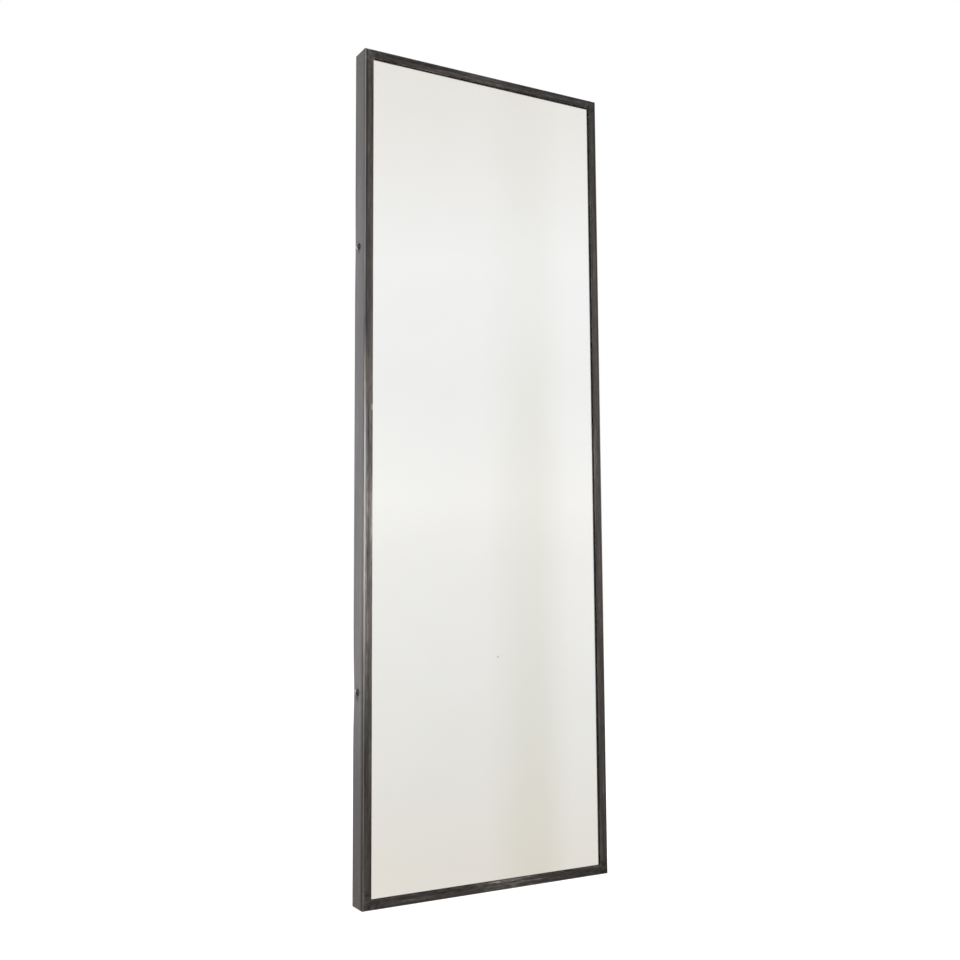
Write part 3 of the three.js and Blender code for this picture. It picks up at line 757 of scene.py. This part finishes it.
def close_tree(tree, geometry, material):
    """Ends a tree: shade smooth up to a crease of 35 degrees, realize instances, set the material."""
    angle = put(tree, "GeometryNodeInputMeshEdgeAngle")
    soft = maths("LESS_THAN", angle, math.radians(35))
    smooth = put(
        tree, "GeometryNodeSetShadeSmooth", {"Geometry": geometry, "Shade Smooth": True}, domain="FACE",
    )
    smooth = put(tree, "GeometryNodeSetShadeSmooth", {"Geometry": smooth, "Shade Smooth": soft}, domain="EDGE")
    real = put(tree, "GeometryNodeRealizeInstances", {"Geometry": smooth})
    done = put(tree, "GeometryNodeSetMaterial", {"Geometry": real, "Material": material})
    link(done, tree.nodes.new("NodeGroupOutput").inputs[0])


def edge_mesh(name, points, closed):
    """A mesh of edges through points, to go into a tree as its outline."""
    mesh = bpy.data.meshes.new(name)
    edges = [(i, i + 1) for i in range(len(points) - 1)] + ([(len(points) - 1, 0)] if closed else [])
    mesh.from_pydata([tuple(p) for p in points], edges, [])
    return mesh


def grow(name, outline, tree, sockets, values):
    """Runs a tree on an outline and gives back a plain mesh object at the origin."""
    maker = bpy.data.objects.new("maker of " + name, outline)
    scene.collection.objects.link(maker)
    modifier = maker.modifiers.new("tree", "NODES")
    modifier.node_group = tree
    for label, value in values.items():
        modifier[sockets[label].identifier] = value
    depsgraph = bpy.context.evaluated_depsgraph_get()
    mesh = bpy.data.meshes.new_from_object(maker.evaluated_get(depsgraph), depsgraph=depsgraph)
    bpy.data.objects.remove(maker)
    mesh.name = name
    mesh.materials.clear()
    mesh.materials.append(values["Material"])
    mesh.polygons.foreach_set("material_index", [0] * len(mesh.polygons))
    made = bpy.data.objects.new(name, mesh)
    scene.collection.objects.link(made)
    return made


def face_outwards(made):
    """Turns a closed mesh's faces outwards and says how big it is."""
    work = bmesh.new()
    work.from_mesh(made.data)
    bmesh.ops.remove_doubles(work, verts=work.verts, dist=1e-6)
    many_sided = [face for face in work.faces if len(face.verts) > 4]
    bmesh.ops.triangulate(work, faces=many_sided, quad_method="BEAUTY", ngon_method="BEAUTY")
    bmesh.ops.recalc_face_normals(work, faces=work.faces)
    open_edges = sum(1 for edge in work.edges if len(edge.link_faces) != 2)
    volume = work.calc_volume(signed=True)
    work.to_mesh(made.data)
    work.free()
    print(f"{made.name}: {len(made.data.polygons)} faces, {volume * 1e6:.2f} cm3, {open_edges} open edges")
    return made


# %% [markdown]
# ## The folded bars
# Each bar is sheet steel folded to an L: a narrow face in front and a deep leg at the side, with a rounded
# fold between them. Its outline is swept along the bar, with rings crowded towards the ends. Both ends are
# then slanted to the 45-degree mitre, the outer corner is ground a little round, and the side leg is drawn
# in where a screw pulls it against the wood.

# %% Outline of the folded sheet
def arc(centre_x, centre_y, radius, start, end, steps):
    """Points on an arc, angles in degrees."""
    angles = (math.radians(start + (end - start) * i / steps) for i in range(steps + 1))
    return [(centre_x + radius * math.cos(a), centre_y + radius * math.sin(a), 0) for a in angles]


def folded_outline():
    """The L section: X runs in from the outside of the frame, Y back from its front."""
    near, inner, hold = EDGE_RADIUS, BEND_RADIUS - WALL, 0.25 * MM
    return [
        *arc(near, DEPTH - near, near, 90, 180, 3),
        (0, DEPTH - near - hold, 0),
        (0, BEND_RADIUS + hold, 0),
        *arc(BEND_RADIUS, BEND_RADIUS, BEND_RADIUS, 180, 270, 12),
        (BEND_RADIUS + hold, 0, 0),
        (FACE - near - hold, 0, 0),
        *arc(FACE - near, near, near, 270, 360, 3),
        *arc(FACE - near, WALL - near, near, 0, 90, 3),
        (BEND_RADIUS + hold, WALL, 0),
        *arc(BEND_RADIUS, BEND_RADIUS, inner, 270, 180, 4),
        (WALL, BEND_RADIUS + hold, 0),
        (WALL, DEPTH - near - hold, 0),
        *arc(WALL - near, DEPTH - near, near, 0, 90, 3),
    ]


section = edge_mesh("folded section", folded_outline(), closed=True)
print(len(section.vertices), "points round the section")

# %% Tree of a folded bar
bar_tree, bar_inputs, got = geometry_tree(
    "folded bar",
    [("Length", NUMBER), ("Rings", WHOLE), ("Corner", NUMBER), ("Pull", NUMBER), ("Pull Back", NUMBER),
     ("Pull Place", NUMBER),
     ("Second Pull", NUMBER), (
         "Second Place", NUMBER,
     ), ("Pull Reach", NUMBER), ("Reach", NUMBER), ("Turn", ROTATION),
     ("Shift", VECTOR), ("Material", MATERIAL)],
)
outline_at = position(bar_tree)
marked = store(got["Outline"], "inset", outline_at["X"])
marked = store(marked, "behind", outline_at["Y"])
ring_curve = put(bar_tree, "GeometryNodeMeshToCurve", {"Mesh": marked})

half = times(got["Length"], 0.5)
top_end = vector(0, 0, half)
low_end = vector(0, 0, times(half, -1.0))
line = put(bar_tree, "GeometryNodeCurvePrimitiveLine", {"Start": low_end, "End": top_end})
line = put(bar_tree, "GeometryNodeResampleCurve", {"Curve": line, "Count": got["Rings"]})
share = place(bar_tree, "GeometryNodeSplineParameter").outputs["Factor"]
crowd = maths("SINE", times(minus(share, 0.5), math.pi))
ring_height = times(crowd, half)
line = store(line, "height", ring_height)
skin = put(bar_tree, "GeometryNodeCurveToMesh", {"Curve": line, "Profile Curve": ring_curve, "Fill Caps": True})
inset, behind, height = (stored(bar_tree, name) for name in ("inset", "behind", "height"))
slanted = times(height, over(minus(half, inset), half))
beyond = maths("MAXIMUM", minus(maths("ABSOLUTE", slanted), minus(half, got["Corner"])), 0.0)
outside = maths("MAXIMUM", minus(got["Corner"], inset), 0.0)
reach = maths("MAXIMUM", maths("SQRT", plus(times(beyond, beyond), times(outside, outside))), 1e-9)
shrink = maths("MINIMUM", over(got["Corner"], reach), 1.0)
lost_in = times(outside, minus(1.0, shrink))
lost_up = times(beyond, minus(1.0, shrink))
final_height = minus(slanted, times(maths("SIGN", slanted), lost_up))


def drawn_in(amount, centre):
    """How far the sheet is drawn in near one screw: most at the screw's height, none at the fold."""
    off = over(minus(height, centre), got["Pull Reach"])
    bell = maths("EXPONENT", times(off, off, -1.0))
    deep = maths("POWER", over(behind, got["Pull Back"]), PULL_CURVE)
    return times(bell, deep, amount)


pulls = plus(drawn_in(got["Pull"], got["Pull Place"]), drawn_in(got["Second Pull"], got["Second Place"]))
final_inset = plus(inset, lost_in, pulls)
from_middle = minus(final_inset, got["Reach"])
spot = vector(from_middle, behind, final_height)
shaped = put(bar_tree, "GeometryNodeSetPosition", {"Geometry": skin, "Position": spot})
stood = put(
    bar_tree, "GeometryNodeTransform",
    {"Geometry": shaped, "Rotation": got["Turn"], "Translation": got["Shift"]},
)
close_tree(bar_tree, stood, got["Material"])
print("folded bar tree:", len(bar_tree.nodes), "nodes")

# %% The four bars
DRILL_FACETS = 30
SCREW_OFF_MIDDLE = 0.470
SCREW_BEHIND = 0.033
PULLS = {"left": (1.8 * MM, 0.7 * MM), "right": (0.5 * MM, 0.6 * MM)}


def drill(made, cutters):
    """Cuts holes with a Boolean modifier, whose result becomes the piece's own mesh."""
    for cutter in cutters:
        modifier = made.modifiers.new("hole", "BOOLEAN")
        modifier.operation = "DIFFERENCE"
        modifier.solver = "EXACT"
        modifier.object = cutter
    depsgraph = bpy.context.evaluated_depsgraph_get()
    mesh = bpy.data.meshes.new_from_object(made.evaluated_get(depsgraph), depsgraph=depsgraph)
    made.modifiers.clear()
    mesh.name = made.name
    made.data = mesh
    for cutter in cutters:
        bpy.data.objects.remove(cutter)


def object_from(work, name):
    """Turns a bmesh into an object at the origin."""
    mesh = bpy.data.meshes.new(name)
    work.to_mesh(mesh)
    work.free()
    made = bpy.data.objects.new(name, mesh)
    scene.collection.objects.link(made)
    return made


def drill_bit(centre, along, radius, length):
    """A rod that stands for a drill, centred on a point."""
    work = bmesh.new()
    bmesh.ops.create_cone(
        work, cap_ends=True, segments=DRILL_FACETS, radius1=radius, radius2=radius, depth=length,
    )
    turn = Vector((0, 0, 1)).rotation_difference(Vector(along)).to_matrix().to_4x4()
    bmesh.ops.transform(work, matrix=Matrix.Translation(centre) @ turn, verts=work.verts)
    return object_from(work, "drill")


def folded_bar(name, length, reach, turn, pull=0.0, pull_place=0.0, second_pull=0.0, second_place=0.0):
    values = {
        "Length": length, "Rings": RINGS_ALONG, "Corner": GROUND_CORNER, "Pull": pull, "Pull Back": DEPTH,
        "Pull Place": pull_place,
        "Second Pull": second_pull, "Second Place": second_place, "Pull Reach": PULL_REACH, "Reach": reach,
        "Turn": (0.0, turn, 0.0), "Shift": (0.0, FRONT, MID_HEIGHT), "Material": steel,
    }
    return grow(name + "_bar", section, bar_tree, bar_inputs, values)


low_pull, high_pull = PULLS["left"]
bars = {
    "frame_stile_left": folded_bar(
        "left_stile", HEIGHT, HALF_WIDTH, 0.0, low_pull, -SCREW_OFF_MIDDLE, high_pull, SCREW_OFF_MIDDLE,
    ),
    "frame_rail_top": folded_bar("top_rail", 2 * HALF_WIDTH, MID_HEIGHT, math.pi / 2),
    "frame_rail_bottom": folded_bar("bottom_rail", 2 * HALF_WIDTH, MID_HEIGHT, -math.pi / 2),
}
low_pull, high_pull = PULLS["right"]
bars["frame_stile_right"] = folded_bar(
    "right_stile", HEIGHT, HALF_WIDTH, math.pi, low_pull, SCREW_OFF_MIDDLE, high_pull, -SCREW_OFF_MIDDLE
)
SHANK_HOLE = 3.5 * MM
for side, stile in ((-1, bars["frame_stile_left"]), (1, bars["frame_stile_right"])):
    face_outwards(stile)
    heights = (MID_HEIGHT - SCREW_OFF_MIDDLE, MID_HEIGHT + SCREW_OFF_MIDDLE)
    drill(
        stile,
        [drill_bit((side * HALF_WIDTH, FRONT + SCREW_BEHIND, z), (1, 0, 0), SHANK_HOLE, 0.012) for z in heights]
    )
for node, bar in bars.items():
    face_outwards(bar)
    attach(bar, "mirror")
    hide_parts(node)

# %% [markdown]
# ## Turned pieces
# Screws and rubber bumpers are round, so their trees turn half an outline about an axis. Copies are not
# placed by hand: a mesh of single points holds every seat, which way it faces and how far the screw happens
# to be turned, and a second tree sets a copy on each.

# %% Tree that turns an outline
turning_tree, turning_inputs, got = geometry_tree(
    "turned piece",
    [
        ("Facets", WHOLE), ("Slots", WHOLE), ("Slot Width", NUMBER), ("Slot Span", NUMBER),
        ("Slot Depth", NUMBER), ("Top", NUMBER), ("Material", MATERIAL),
    ],
)
outline_at = position(turning_tree)
marked = store(got["Outline"], "radius_out", outline_at["X"])
marked = store(marked, "rise", outline_at["Y"])
half_outline = put(turning_tree, "GeometryNodeMeshToCurve", {"Mesh": marked})
circle = put(turning_tree, "GeometryNodeCurvePrimitiveCircle", {"Resolution": got["Facets"], "Radius": 1.0})
round_at = position(turning_tree)
angle = maths("ARCTAN2", round_at["Y"], round_at["X"])
circle = store(circle, "angle_round", angle)
skin = put(turning_tree, "GeometryNodeCurveToMesh", {"Curve": circle, "Profile Curve": half_outline})
radius, rise, angle = (stored(turning_tree, name) for name in ("radius_out", "rise", "angle_round"))
across = times(radius, maths("COSINE", angle))
upwards = times(radius, maths("SINE", angle))
spot = vector(across, upwards, rise)
turned = put(turning_tree, "GeometryNodeSetPosition", {"Geometry": skin, "Position": spot})
turned = put(turning_tree, "GeometryNodeMergeByDistance", {"Geometry": turned, "Distance": 1e-6})
bar_size = vector(got["Slot Span"], got["Slot Width"], times(got["Slot Depth"], 2.0))
cutter = put(turning_tree, "GeometryNodeMeshCube", {"Size": bar_size})
seats = put(turning_tree, "GeometryNodeMeshLine", {"Count": got["Slots"], "Offset": (0, 0, 0)})
order = put(turning_tree, "GeometryNodeInputIndex")
quarter = vector(0, 0, times(order, math.pi / 2))
cutters = put(
    turning_tree, "GeometryNodeInstanceOnPoints", {"Points": seats, "Instance": cutter, "Rotation": quarter},
)
cutters = put(
    turning_tree, "GeometryNodeTransform", {"Geometry": cutters, "Translation": vector(0, 0, got["Top"])},
)
slotted = put(
    turning_tree, "GeometryNodeMeshBoolean", {"Mesh 1": turned, "Mesh 2": cutters}, operation="DIFFERENCE",
    solver="EXACT",
)
close_tree(turning_tree, slotted, got["Material"])
print("turning tree:", len(turning_tree.nodes), "nodes")

# %% Tree that sets copies on their seats
setting_tree, setting_inputs, got = geometry_tree(
    "copies on seats", [("Piece", "NodeSocketObject"), ("Material", MATERIAL)],
)
piece = place(
    setting_tree, "GeometryNodeObjectInfo", {"Object": got["Piece"], "As Instance": True},
    transform_space="ORIGINAL",
).outputs["Geometry"]
facing = put(setting_tree, "GeometryNodeInputNamedAttribute", {"Name": "facing"}, data_type="FLOAT_VECTOR")
upright = put(setting_tree, "FunctionNodeAlignRotationToVector", {"Vector": facing}, axis="Z")
spin = put(
    setting_tree, "FunctionNodeAxisAngleToRotation", {"Axis": (0, 0, 1), "Angle": stored(setting_tree, "spin")},
)
turn = put(
    setting_tree, "FunctionNodeRotateRotation", {"Rotation": upright, "Rotate By": spin},
    rotation_space="LOCAL",
)
copies = put(
    setting_tree, "GeometryNodeInstanceOnPoints",
    {"Points": got["Outline"], "Instance": piece, "Rotation": turn},
)
close_tree(setting_tree, copies, got["Material"])


def seat_mesh(name, seats):
    """Single points, each with the way it faces and the turn of the piece on it."""
    mesh = bpy.data.meshes.new(name)
    mesh.from_pydata([place_at for place_at, _, _ in seats], [], [])
    facing = mesh.attributes.new("facing", "FLOAT_VECTOR", "POINT")
    facing.data.foreach_set("vector", [v for _, way, _ in seats for v in way])
    spin = mesh.attributes.new("spin", "FLOAT", "POINT")
    spin.data.foreach_set("value", [turn for _, _, turn in seats])
    return mesh


def turned_pieces(name, outline, material, seats, facets, top=0.0, slots=0, slot=(1.0, 1.0, 1.0)):
    """One mesh that holds a turned piece on every seat."""
    width, span, depth = slot
    values = {
        "Facets": facets, "Slots": slots, "Slot Width": width, "Slot Span": span, "Slot Depth": depth,
        "Top": top, "Material": material,
    }
    pattern = grow(
        "pattern", edge_mesh("half outline", outline, closed=False), turning_tree, turning_inputs, values,
    )
    face_outwards(pattern)
    made = grow(
        name, seat_mesh("seats", seats), setting_tree, setting_inputs, {"Piece": pattern, "Material": material},
    )
    bpy.data.objects.remove(pattern)
    return face_outwards(made)


print("setting tree:", len(setting_tree.nodes), "nodes")

# %% [markdown]
# ## Screws
# The side screws are round-head wood screws with one slot, and no two slots point the same way. The hanger
# screws are small ones with a cross. Each head is a shallow dome on a short straight rim.

# %% Screws
def round_head(head_radius, head_height, shank_radius, length, tip):
    """Half the outline of a round-head screw, from its point up to its crown, the seat at height 0."""
    rim = 0.08 * head_height
    dome_height = head_height - rim
    sphere = (head_radius**2 + dome_height**2) / (2 * dome_height)
    edge = math.asin(min(1.0, head_radius / sphere))
    dome = [
        (
            sphere * math.sin(edge * (1 - i / 14)),
            head_height - sphere + sphere * math.cos(edge * (1 - i / 14)), 0,
        ) for i in range(14)
    ]
    return [
        (0, -length, 0), (shank_radius, tip - length, 0), (shank_radius, 0, 0), (head_radius - 0.1 * MM, 0, 0),
        (head_radius, 0.1 * MM, 0), *dome, (0, head_height, 0),
    ]


screw_low, screw_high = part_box("side_screw_left_lower")
SIDE_HEAD_RADIUS = (screw_high.z - screw_low.z) / 2
SIDE_HEAD_HEIGHT = 4.4 * MM
side_seats = []
for side, name, spins in ((-1, "left", (0.95, 0.35)), (1, "right", (1.3, 0.1))):
    for pull, height, spin in zip(PULLS[name], (-SCREW_OFF_MIDDLE, SCREW_OFF_MIDDLE), spins):
        drawn = pull * (SCREW_BEHIND / DEPTH) ** PULL_CURVE
        side_seats.append(
            (
                (side * (HALF_WIDTH - drawn + 0.02 * MM), FRONT + SCREW_BEHIND, MID_HEIGHT + height),
                (side, 0, 0), spin,
            )
        )
side_screws = turned_pieces(
    "side_screws", round_head(
        SIDE_HEAD_RADIUS, SIDE_HEAD_HEIGHT, 3.0 * MM, 32 * MM, 6 * MM,
    ), screw_finish, side_seats,
    facets=48, top=SIDE_HEAD_HEIGHT, slots=1, slot=(1.6 * MM, 16 * MM, 1.9 * MM),
)
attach(side_screws, "mirror")
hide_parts(*(f"side_screw_{side}_{end}" for side in ("left", "right") for end in ("lower", "upper")))

# %% [markdown]
# ## Hangers
# A hanger is a strip of zinc-plated sheet, folded in two round a wire ring and screwed to the wood. The strip
# is drawn as the line that the sheet follows, given its thickness, and pulled out to its width, so the fold,
# the rolled eye and the hairline between its two layers are all there. The ring is a wire bent to a D.

# %% Folded strap
strap_low, strap_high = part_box("hanger_strap_left")
ring_low, ring_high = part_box("hanger_ring_left")
HANGER_X = (strap_low.x + strap_high.x) / 2
MOUNT_Y = strap_low.y
EYE_Y = (ring_low.y + ring_high.y) / 2
WIRE_RADIUS = 1.75 * MM
EYE_Z = ring_high.z - WIRE_RADIUS
SHEET = 0.78 * MM
STRAP_THICKNESS = 1.6 * MM
STRAP_WIDTH = strap_high.x - strap_low.x
TAIL = EYE_Z - strap_low.z
HANGER_SCREW_BELOW = (30 * MM, 46 * MM)


def bezier(start, start_pull, end_pull, end, steps):
    """Points on a Bezier curve."""
    points = []
    for i in range(steps + 1):
        t = i / steps
        weights = ((1 - t) ** 3, 3 * t * (1 - t) ** 2, 3 * t * t * (1 - t), t**3)
        points.append(
            sum((Vector(p) * w for p, w in zip((start, start_pull, end_pull, end), weights)), Vector((0, 0)))
        )
    return points


def sheet_line():
    """The middle of the folded sheet: across the back, round the eye and down the front."""
    back, front = SHEET / 2, STRAP_THICKNESS - SHEET / 2
    eye = Vector((EYE_Y - MOUNT_Y, 0))
    radius = 2.0 * MM + SHEET / 2
    turn = [
        eye + radius * Vector((math.cos(math.radians(a)), math.sin(math.radians(a))))
        for a in range(172, -51, -8)
    ]
    leave = turn[-1] + 3.0 * MM * Vector((math.sin(math.radians(-50)), -math.cos(math.radians(-50))))
    start = Vector((eye.x - radius, 0))
    rise = bezier((back, -7.5 * MM), (back, -4 * MM), (start.x, -3.2 * MM), start, 10)
    fall = bezier(turn[-1], leave, (front, -5 * MM), (front, -8.5 * MM), 10)
    return [Vector((back, -TAIL - MM)), *rise, *turn, *fall[1:], Vector((front, -TAIL - MM))]


def prism(name, ends):
    """A closed object between two copies of an outline."""
    work = bmesh.new()
    near, far = ([work.verts.new(spot) for spot in end] for end in ends)
    work.faces.new(near)
    work.faces.new(far[::-1])
    for i in range(len(near)):
        j = (i + 1) % len(near)
        work.faces.new((near[i], far[i], far[j], near[j]))
    bmesh.ops.recalc_face_normals(work, faces=work.faces)
    return object_from(work, name)


def strap(name, x):
    """The folded sheet, still with a square tail and no holes."""
    line = sheet_line()
    left, right = [], []
    for i, point in enumerate(line):
        way = (line[min(i + 1, len(line) - 1)] - line[max(i - 1, 0)]).normalized()
        side = Vector((-way.y, way.x)) * SHEET / 2
        left.append(point + side)
        right.append(point - side)
    outline = left + right[::-1]
    sides = (-STRAP_WIDTH / 2, STRAP_WIDTH / 2)
    made = prism(name, [[(x + shift, MOUNT_Y + p.x, EYE_Z + p.y) for p in outline] for shift in sides])
    made.data.materials.append(zinc_finish)
    return made


def tail_cutter(x):
    """What is cut away below the strap, so that its tail ends in a half circle."""
    half = STRAP_WIDTH / 2
    bottom = -TAIL - 3 * MM
    angles = (math.pi + math.pi * i / 24 for i in range(25))
    rim = [(x + half * math.cos(a), half - TAIL + half * math.sin(a)) for a in angles]
    outline = [
        (
            x - half - MM, half - TAIL,
        ), *rim, (x + half + MM, half - TAIL), (x + half + MM, bottom), (x - half - MM, bottom),
    ]
    depths = (-MM, 4 * MM)
    return prism("tail cutter", [[(px, MOUNT_Y + y, EYE_Z + pz) for px, pz in outline] for y in depths])


for side, sign in (("left", 1), ("right", -1)):
    x = sign * HANGER_X
    made = strap(f"strap_{side}", x)
    drill(made, [tail_cutter(x)])
    drill(
        made,
        [
            drill_bit((x, MOUNT_Y + MM, EYE_Z - below), (0, 1, 0), 2.1 * MM, 6 * MM)
            for below in HANGER_SCREW_BELOW
        ]
    )
    face_outwards(made)
    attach(made, "mirror")
    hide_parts(f"hanger_strap_{side}")

# %% Tree of a wire ring
wire_tree, wire_inputs, got = geometry_tree(
    "wire ring", [("Wire Radius", NUMBER), ("Facets", WHOLE), ("Material", MATERIAL)],
)
loop = put(wire_tree, "GeometryNodeMeshToCurve", {"Mesh": got["Outline"]})
wire = put(
    wire_tree, "GeometryNodeCurvePrimitiveCircle", {"Resolution": got["Facets"], "Radius": got["Wire Radius"]},
)
tube = put(wire_tree, "GeometryNodeCurveToMesh", {"Curve": loop, "Profile Curve": wire})
close_tree(wire_tree, tube, got["Material"])


def ring_line(x):
    """The wire's middle: a straight bar in the eye, two bends, two legs and half a circle."""
    half, leg, bend = 12 * MM, 8 * MM, 2.4 * MM
    points = []
    points += [
        (half - bend + bend * math.cos(a), -bend + bend * math.sin(a))
        for a in (math.pi / 2 * (1 - i / 6) for i in range(7))
    ]
    points += [(half, -leg * 0.65)]
    points += [(half * math.cos(a), -leg + half * math.sin(a)) for a in (-math.pi * i / 40 for i in range(41))]
    points += [(-half, -leg * 0.65)]
    points += [
        (-half + bend - bend * math.cos(a), -bend + bend * math.sin(a))
        for a in (math.pi / 2 * i / 6 for i in range(7))
    ]
    return [(x + px, EYE_Y, EYE_Z + pz) for px, pz in points]


for side, sign in (("left", 1), ("right", -1)):
    values = {"Wire Radius": WIRE_RADIUS, "Facets": 24, "Material": zinc_finish}
    loop_line = edge_mesh("ring line", ring_line(sign * HANGER_X), closed=True)
    made = grow(f"ring_{side}", loop_line, wire_tree, wire_inputs, values)
    face_outwards(made)
    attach(made, f"ring_{side}")
    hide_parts(f"hanger_ring_{side}")

# %% Hanger screws
HANGER_HEAD_HEIGHT = 2.3 * MM
hanger_seats = [
    ((sign * HANGER_X, MOUNT_Y + STRAP_THICKNESS, EYE_Z - below), (0, 1, 0), spin)
    for sign, spins in ((1, (0.3, 0.9)), (-1, (0.6, 0.15)))
    for below, spin in zip(HANGER_SCREW_BELOW, spins)
]
hanger_screws = turned_pieces(
    "hanger_screws", round_head(
        4 * MM, HANGER_HEAD_HEIGHT, 1.9 * MM, 16 * MM, 4 * MM,
    ), zinc_finish, hanger_seats,
    facets=32, top=HANGER_HEAD_HEIGHT, slots=2, slot=(0.9 * MM, 4.2 * MM, 1.3 * MM),
)
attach(hanger_screws, "mirror")
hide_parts(*(f"hanger_screw_{side}_{end}" for side in ("left", "right") for end in ("lower", "upper")))

# %% [markdown]
# ## Bumpers
# Four rubber buttons keep the steel off the wall. Each is a short cone with a rounded rim and the small dimple
# that the mould leaves in its middle.

# %% Bumpers
bumper_low, bumper_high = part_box("wall_bumper_bottom_left")
BUMPER_HEIGHT = bumper_high.y - bumper_low.y
rim = arc(5.3 * MM, BUMPER_HEIGHT - 1.5 * MM, 1.5 * MM, 8, 90, 6)
bumper_outline = [
    (0, 0, 0), (7.8 * MM, 0, 0), (8 * MM, 0.2 * MM, 0), (7.9 * MM, MM, 0), *rim,
    (1.3 * MM, BUMPER_HEIGHT, 0), (MM, BUMPER_HEIGHT - 0.4 * MM, 0), (0, BUMPER_HEIGHT - 0.5 * MM, 0),
]
bumper_seats = []
for edge in ("bottom", "top"):
    for side in ("left", "right"):
        low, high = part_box(f"wall_bumper_{edge}_{side}")
        bumper_seats.append((((low.x + high.x) / 2, low.y, (low.z + high.z) / 2), (0, 1, 0), 0.0))
bumpers = turned_pieces("bumpers", bumper_outline, rubber_finish, bumper_seats, facets=48)
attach(bumpers, "mirror")
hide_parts(*(f"wall_bumper_{edge}_{side}" for edge in ("bottom", "top") for side in ("left", "right")))

# %% [markdown]
# ## Welds
# Inside each corner a bead joins the two side legs. A bead is a row of scales, each a little thicker where it
# starts, so its outline swells in a sawtooth along the corner.

# %% Tree of a weld bead
bead_tree, bead_inputs, got = geometry_tree(
    "weld bead", [
        ("Start", NUMBER), ("End", NUMBER), ("Scale Pitch", NUMBER), ("Corner", VECTOR), ("Way", VECTOR),
        ("Material", MATERIAL),
    ]
)
outline_at = position(bead_tree)
marked = store(got["Outline"], "leg_a", outline_at["X"])
marked = store(marked, "leg_b", outline_at["Y"])
ring_curve = put(bead_tree, "GeometryNodeMeshToCurve", {"Mesh": marked})
near_end = vector(0, got["Start"], 0)
far_end = vector(0, got["End"], 0)
line = put(bead_tree, "GeometryNodeCurvePrimitiveLine", {"Start": near_end, "End": far_end})
line = put(bead_tree, "GeometryNodeResampleCurve", {"Curve": line, "Count": 150})
line_at = position(bead_tree)
line = store(line, "behind", line_at["Y"])
skin = put(
    bead_tree, "GeometryNodeCurveToMesh", {"Curve": line, "Profile Curve": ring_curve, "Fill Caps": True},
)
leg_a, leg_b, behind = (stored(bead_tree, name) for name in ("leg_a", "leg_b", "behind"))
curl = times(leg_a, leg_b, 180000.0)
tooth = maths("FRACT", over(plus(behind, times(curl, 0.0012)), got["Scale Pitch"]))
swell = minus(1.0, times(tooth, 0.14))
way = split(got["Way"])
a = times(leg_a, swell, way["X"])
b = times(leg_b, swell, way["Z"])
spot = vector(a, behind, b)
shaped = put(bead_tree, "GeometryNodeSetPosition", {"Geometry": skin, "Position": spot})
stood = put(bead_tree, "GeometryNodeTransform", {"Geometry": shaped, "Translation": got["Corner"]})
close_tree(bead_tree, stood, got["Material"])
print("weld bead tree:", len(bead_tree.nodes), "nodes")

# %% The four welds
leg = 3.1 * MM
crown = [
    (leg * (1 - t) ** 2 + 2 * t * (1 - t) * 1.95 * MM, leg * t**2 + 2 * t * (1 - t) * 1.95 * MM, 0)
    for t in (i / 8 for i in range(9))
]
bead_outline = edge_mesh("bead outline", [(0, 0, 0), *crown], closed=True)
for edge, up in (("bottom", 1), ("top", -1)):
    for side, right in (("left", 1), ("right", -1)):
        corner = (-right * (HALF_WIDTH - WALL), FRONT, MID_HEIGHT - up * (MID_HEIGHT - WALL))
        bead = grow(f"weld_{edge}_{side}", bead_outline, bead_tree, bead_inputs,
                    {
                        "Start": 3.2 * MM, "End": 47.6 * MM, "Scale Pitch": 2.6 * MM, "Corner": corner,
                        "Way": (right, 0, up), "Material": weld_finish,
                    })
        face_outwards(bead)
        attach(bead, "mirror")
        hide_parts(f"corner_weld_{edge}_{side}")

# %% [markdown]
# ## Finishes for the other pieces
# Glass, silvering, board, battens, their joint screws and the setting blocks are right as they were loaded,
# so they only get their finish.

# %% Finishes for loaded pieces
FINISHES = {
    glass_finish: ["mirror_glass"],
    silver_finish: ["silver_coating"],
    board_finish: ["backing_board"],
    rubber_finish: ["setting_block_left", "setting_block_right"],
    pine_up: ["batten_left", "batten_right"],
    pine_across: ["batten_top", "batten_bottom", "cross_batten_1", "cross_batten_2"],
    screw_finish: sorted(name for name in nodes if name.startswith("joint_screw_")),
}
for finish, names in FINISHES.items():
    for name in names:
        nodes[name].data.materials.clear()
        nodes[name].data.materials.append(finish)
print(sum(len(names) for names in FINISHES.values()), "loaded pieces finished")
